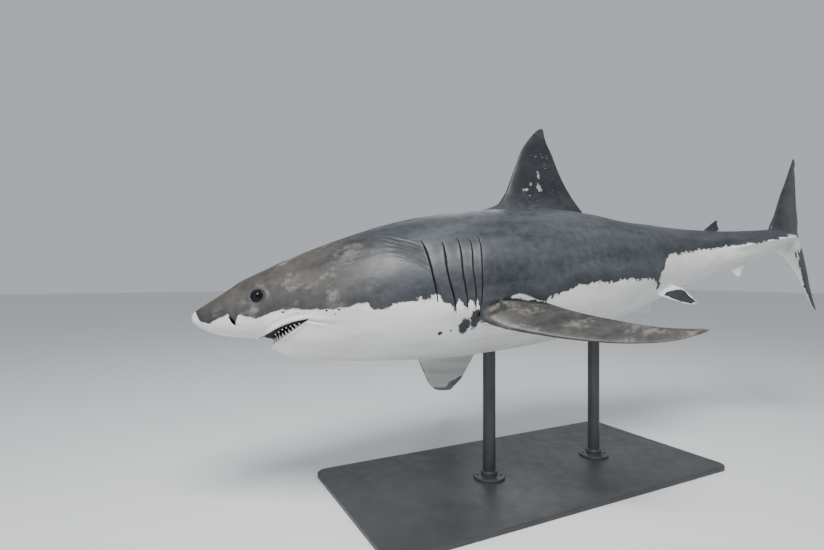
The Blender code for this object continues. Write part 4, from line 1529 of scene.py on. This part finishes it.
# %% Grain, wrinkles and gloss
DULL = (0.9, 0.9, 0.9)
waves = noise_of(stretched(where, (0.30, 2.2, 2.2)), 24, 3, 0.55)
normal = bumped(folds * at_neck, 0.0045, 0.8)
normal = bumped(waves, 0.004, 0.25, Normal=normal)
normal = bumped(noise_of(where, 520, 2, 0.7) - pores * 1.5, 0.0007, 0.7, Normal=normal)
roughness = ranged(noise_of(where, 11, 4), 0.3, 0.7, 0.38, 0.54)
paint({"Base Color": colour, "Normal": normal,
       "Roughness": blended(ranged(depth, 0.1, 0.5), roughness, DULL),
       "Specular IOR Level": 0.45, "Coat Weight": 0.08, "Coat Roughness": 0.25})
print("The skin has its grain and gloss")

# %% [markdown]
# ## Teeth, eyes, tongue and steel
#
# Teeth are cream with a few stains, and almost polished. The eye is black glass with a faint iris.
# The tongue is dark and rough. The stand is painted steel: dark, satin, with the fine orange peel of
# sprayed paint and a little wear.

# %% Enamel and eye
new_look("tooth_enamel", upper_teeth, lower_teeth)
place = object_place()
stain = ranged(noise_of(place, 70, 3), 0.35, 0.7)
paint({"Base Color": blended(stain, (0.80, 0.79, 0.74), (0.62, 0.57, 0.47)),
       "Normal": bumped(noise_of(place, 380, 2), 0.0004, 0.5), "Roughness": 0.25})

new_look("eye_black", *eyes)
ring, place = mark("ring"), object_place()
iris = ranged(ring, 0.44, 0.52) * ranged(ring, 0.78, 0.9, 1, 0)
rays = ranged(noise_of(place, 320, 3), 0.3, 0.7)
iris_colour = blended(rays, (0.003, 0.004, 0.006), (0.008, 0.010, 0.015))
paint({"Base Color": blended(iris, (0.0015, 0.0015, 0.002), iris_colour),
       "Roughness": ranged(noise_of(place, 40, 2), 0.3, 0.7, 0.05, 0.10),
       "Specular IOR Level": 0.16, "Coat Weight": 0.08, "Coat Roughness": 0.03})
print("The teeth and the eyes have their finish")

# %% Tongue and painted steel
new_look("tongue_flesh", tongue)
place = object_place()
patch = ranged(noise_of(place, 45, 4), 0.35, 0.65)
paint({"Base Color": blended(patch, (0.030, 0.014, 0.013), (0.060, 0.028, 0.026)),
       "Normal": bumped(spots_of(place, 260), 0.001, 0.4), "Roughness": ranged(patch, 0, 1, 0.35, 0.5)})

new_look("stand_paint_satin", plate, *rods)
place = object_place()
cloud = ranged(noise_of(place, 5, 4), 0.35, 0.65)
paint({"Base Color": blended(cloud, (0.030, 0.032, 0.035), (0.042, 0.044, 0.048)),
       "Normal": bumped(noise_of(place, 420, 2), 0.0004, 0.5),
       "Roughness": ranged(noise_of(place, 16, 4), 0.3, 0.7, 0.36, 0.50)})
print("The tongue and the stand are painted")

# %% [markdown]
# ## Floor, light and camera
#
# The floor is a plain pale sheet, and the sky is a pale even grey. One large lamp above the left
# shoulder is the main light, a second fills the shadows, and a third draws the edge of the back.
# The camera stands low on the left in front of the fish, with a wide lens, so the head is large and
# the tail runs away from it.

# %% Floor and light
FLOOR_HALF = 30
floor_shape = bmesh.new()
bmesh.ops.create_grid(floor_shape, x_segments=2, y_segments=2, size=FLOOR_HALF)
floor_mesh = bpy.data.meshes.new("floor")
floor_shape.to_mesh(floor_mesh)
floor_shape.free()
floor = bpy.data.objects.new("floor", floor_mesh)
bpy.context.collection.objects.link(floor)
new_look("floor_pale", floor)
paint({"Base Color": blended(noise_of(object_place(), 0.8, 3), (0.74, 0.75, 0.76), (0.78, 0.79, 0.80)),
       "Roughness": 0.7})

world = bpy.data.worlds.new("studio")
world.use_nodes = True
connect(world.node_tree.nodes["Background"], {"Color": (0.78, 0.82, 0.87), "Strength": 0.60})
bpy.context.scene.world = world


def add_lamp(name, place, aim, size, power, colour):
    lamp = bpy.data.lights.new(name, "AREA")
    lamp.shape, lamp.size, lamp.energy, lamp.color = "DISK", size, power, colour
    holder = bpy.data.objects.new(name, lamp)
    bpy.context.collection.objects.link(holder)
    holder.location = place
    holder.rotation_euler = (Vector(aim) - Vector(place)).to_track_quat("-Z", "Y").to_euler()


add_lamp("key_lamp", (-1.7, -2.4, 4.6), (-0.4, 0, 0.9), 2.2, 320, (1.0, 0.98, 0.95))
add_lamp("fill_lamp", (-4.5, -2.5, 1.6), (-0.8, 0, 0.8), 3.0, 40, (0.92, 0.96, 1.0))
add_lamp("edge_lamp", (2.5, 3.5, 3.6), (0.3, 0, 0.9), 2.5, 22, (0.95, 0.98, 1.0))
print("Three lamps light the fish")

# %% Camera
camera = bpy.data.objects.new("camera", bpy.data.cameras.new("camera"))
bpy.context.collection.objects.link(camera)
camera.data.lens, camera.data.sensor_width = 22, 36
camera.location = (-1.650, -2.001, 0.988)
camera.rotation_euler = (math.radians(90), 0, math.radians(-26.9))
bpy.context.scene.camera = camera
print("The camera stands", camera.location.z, "m above the floor")
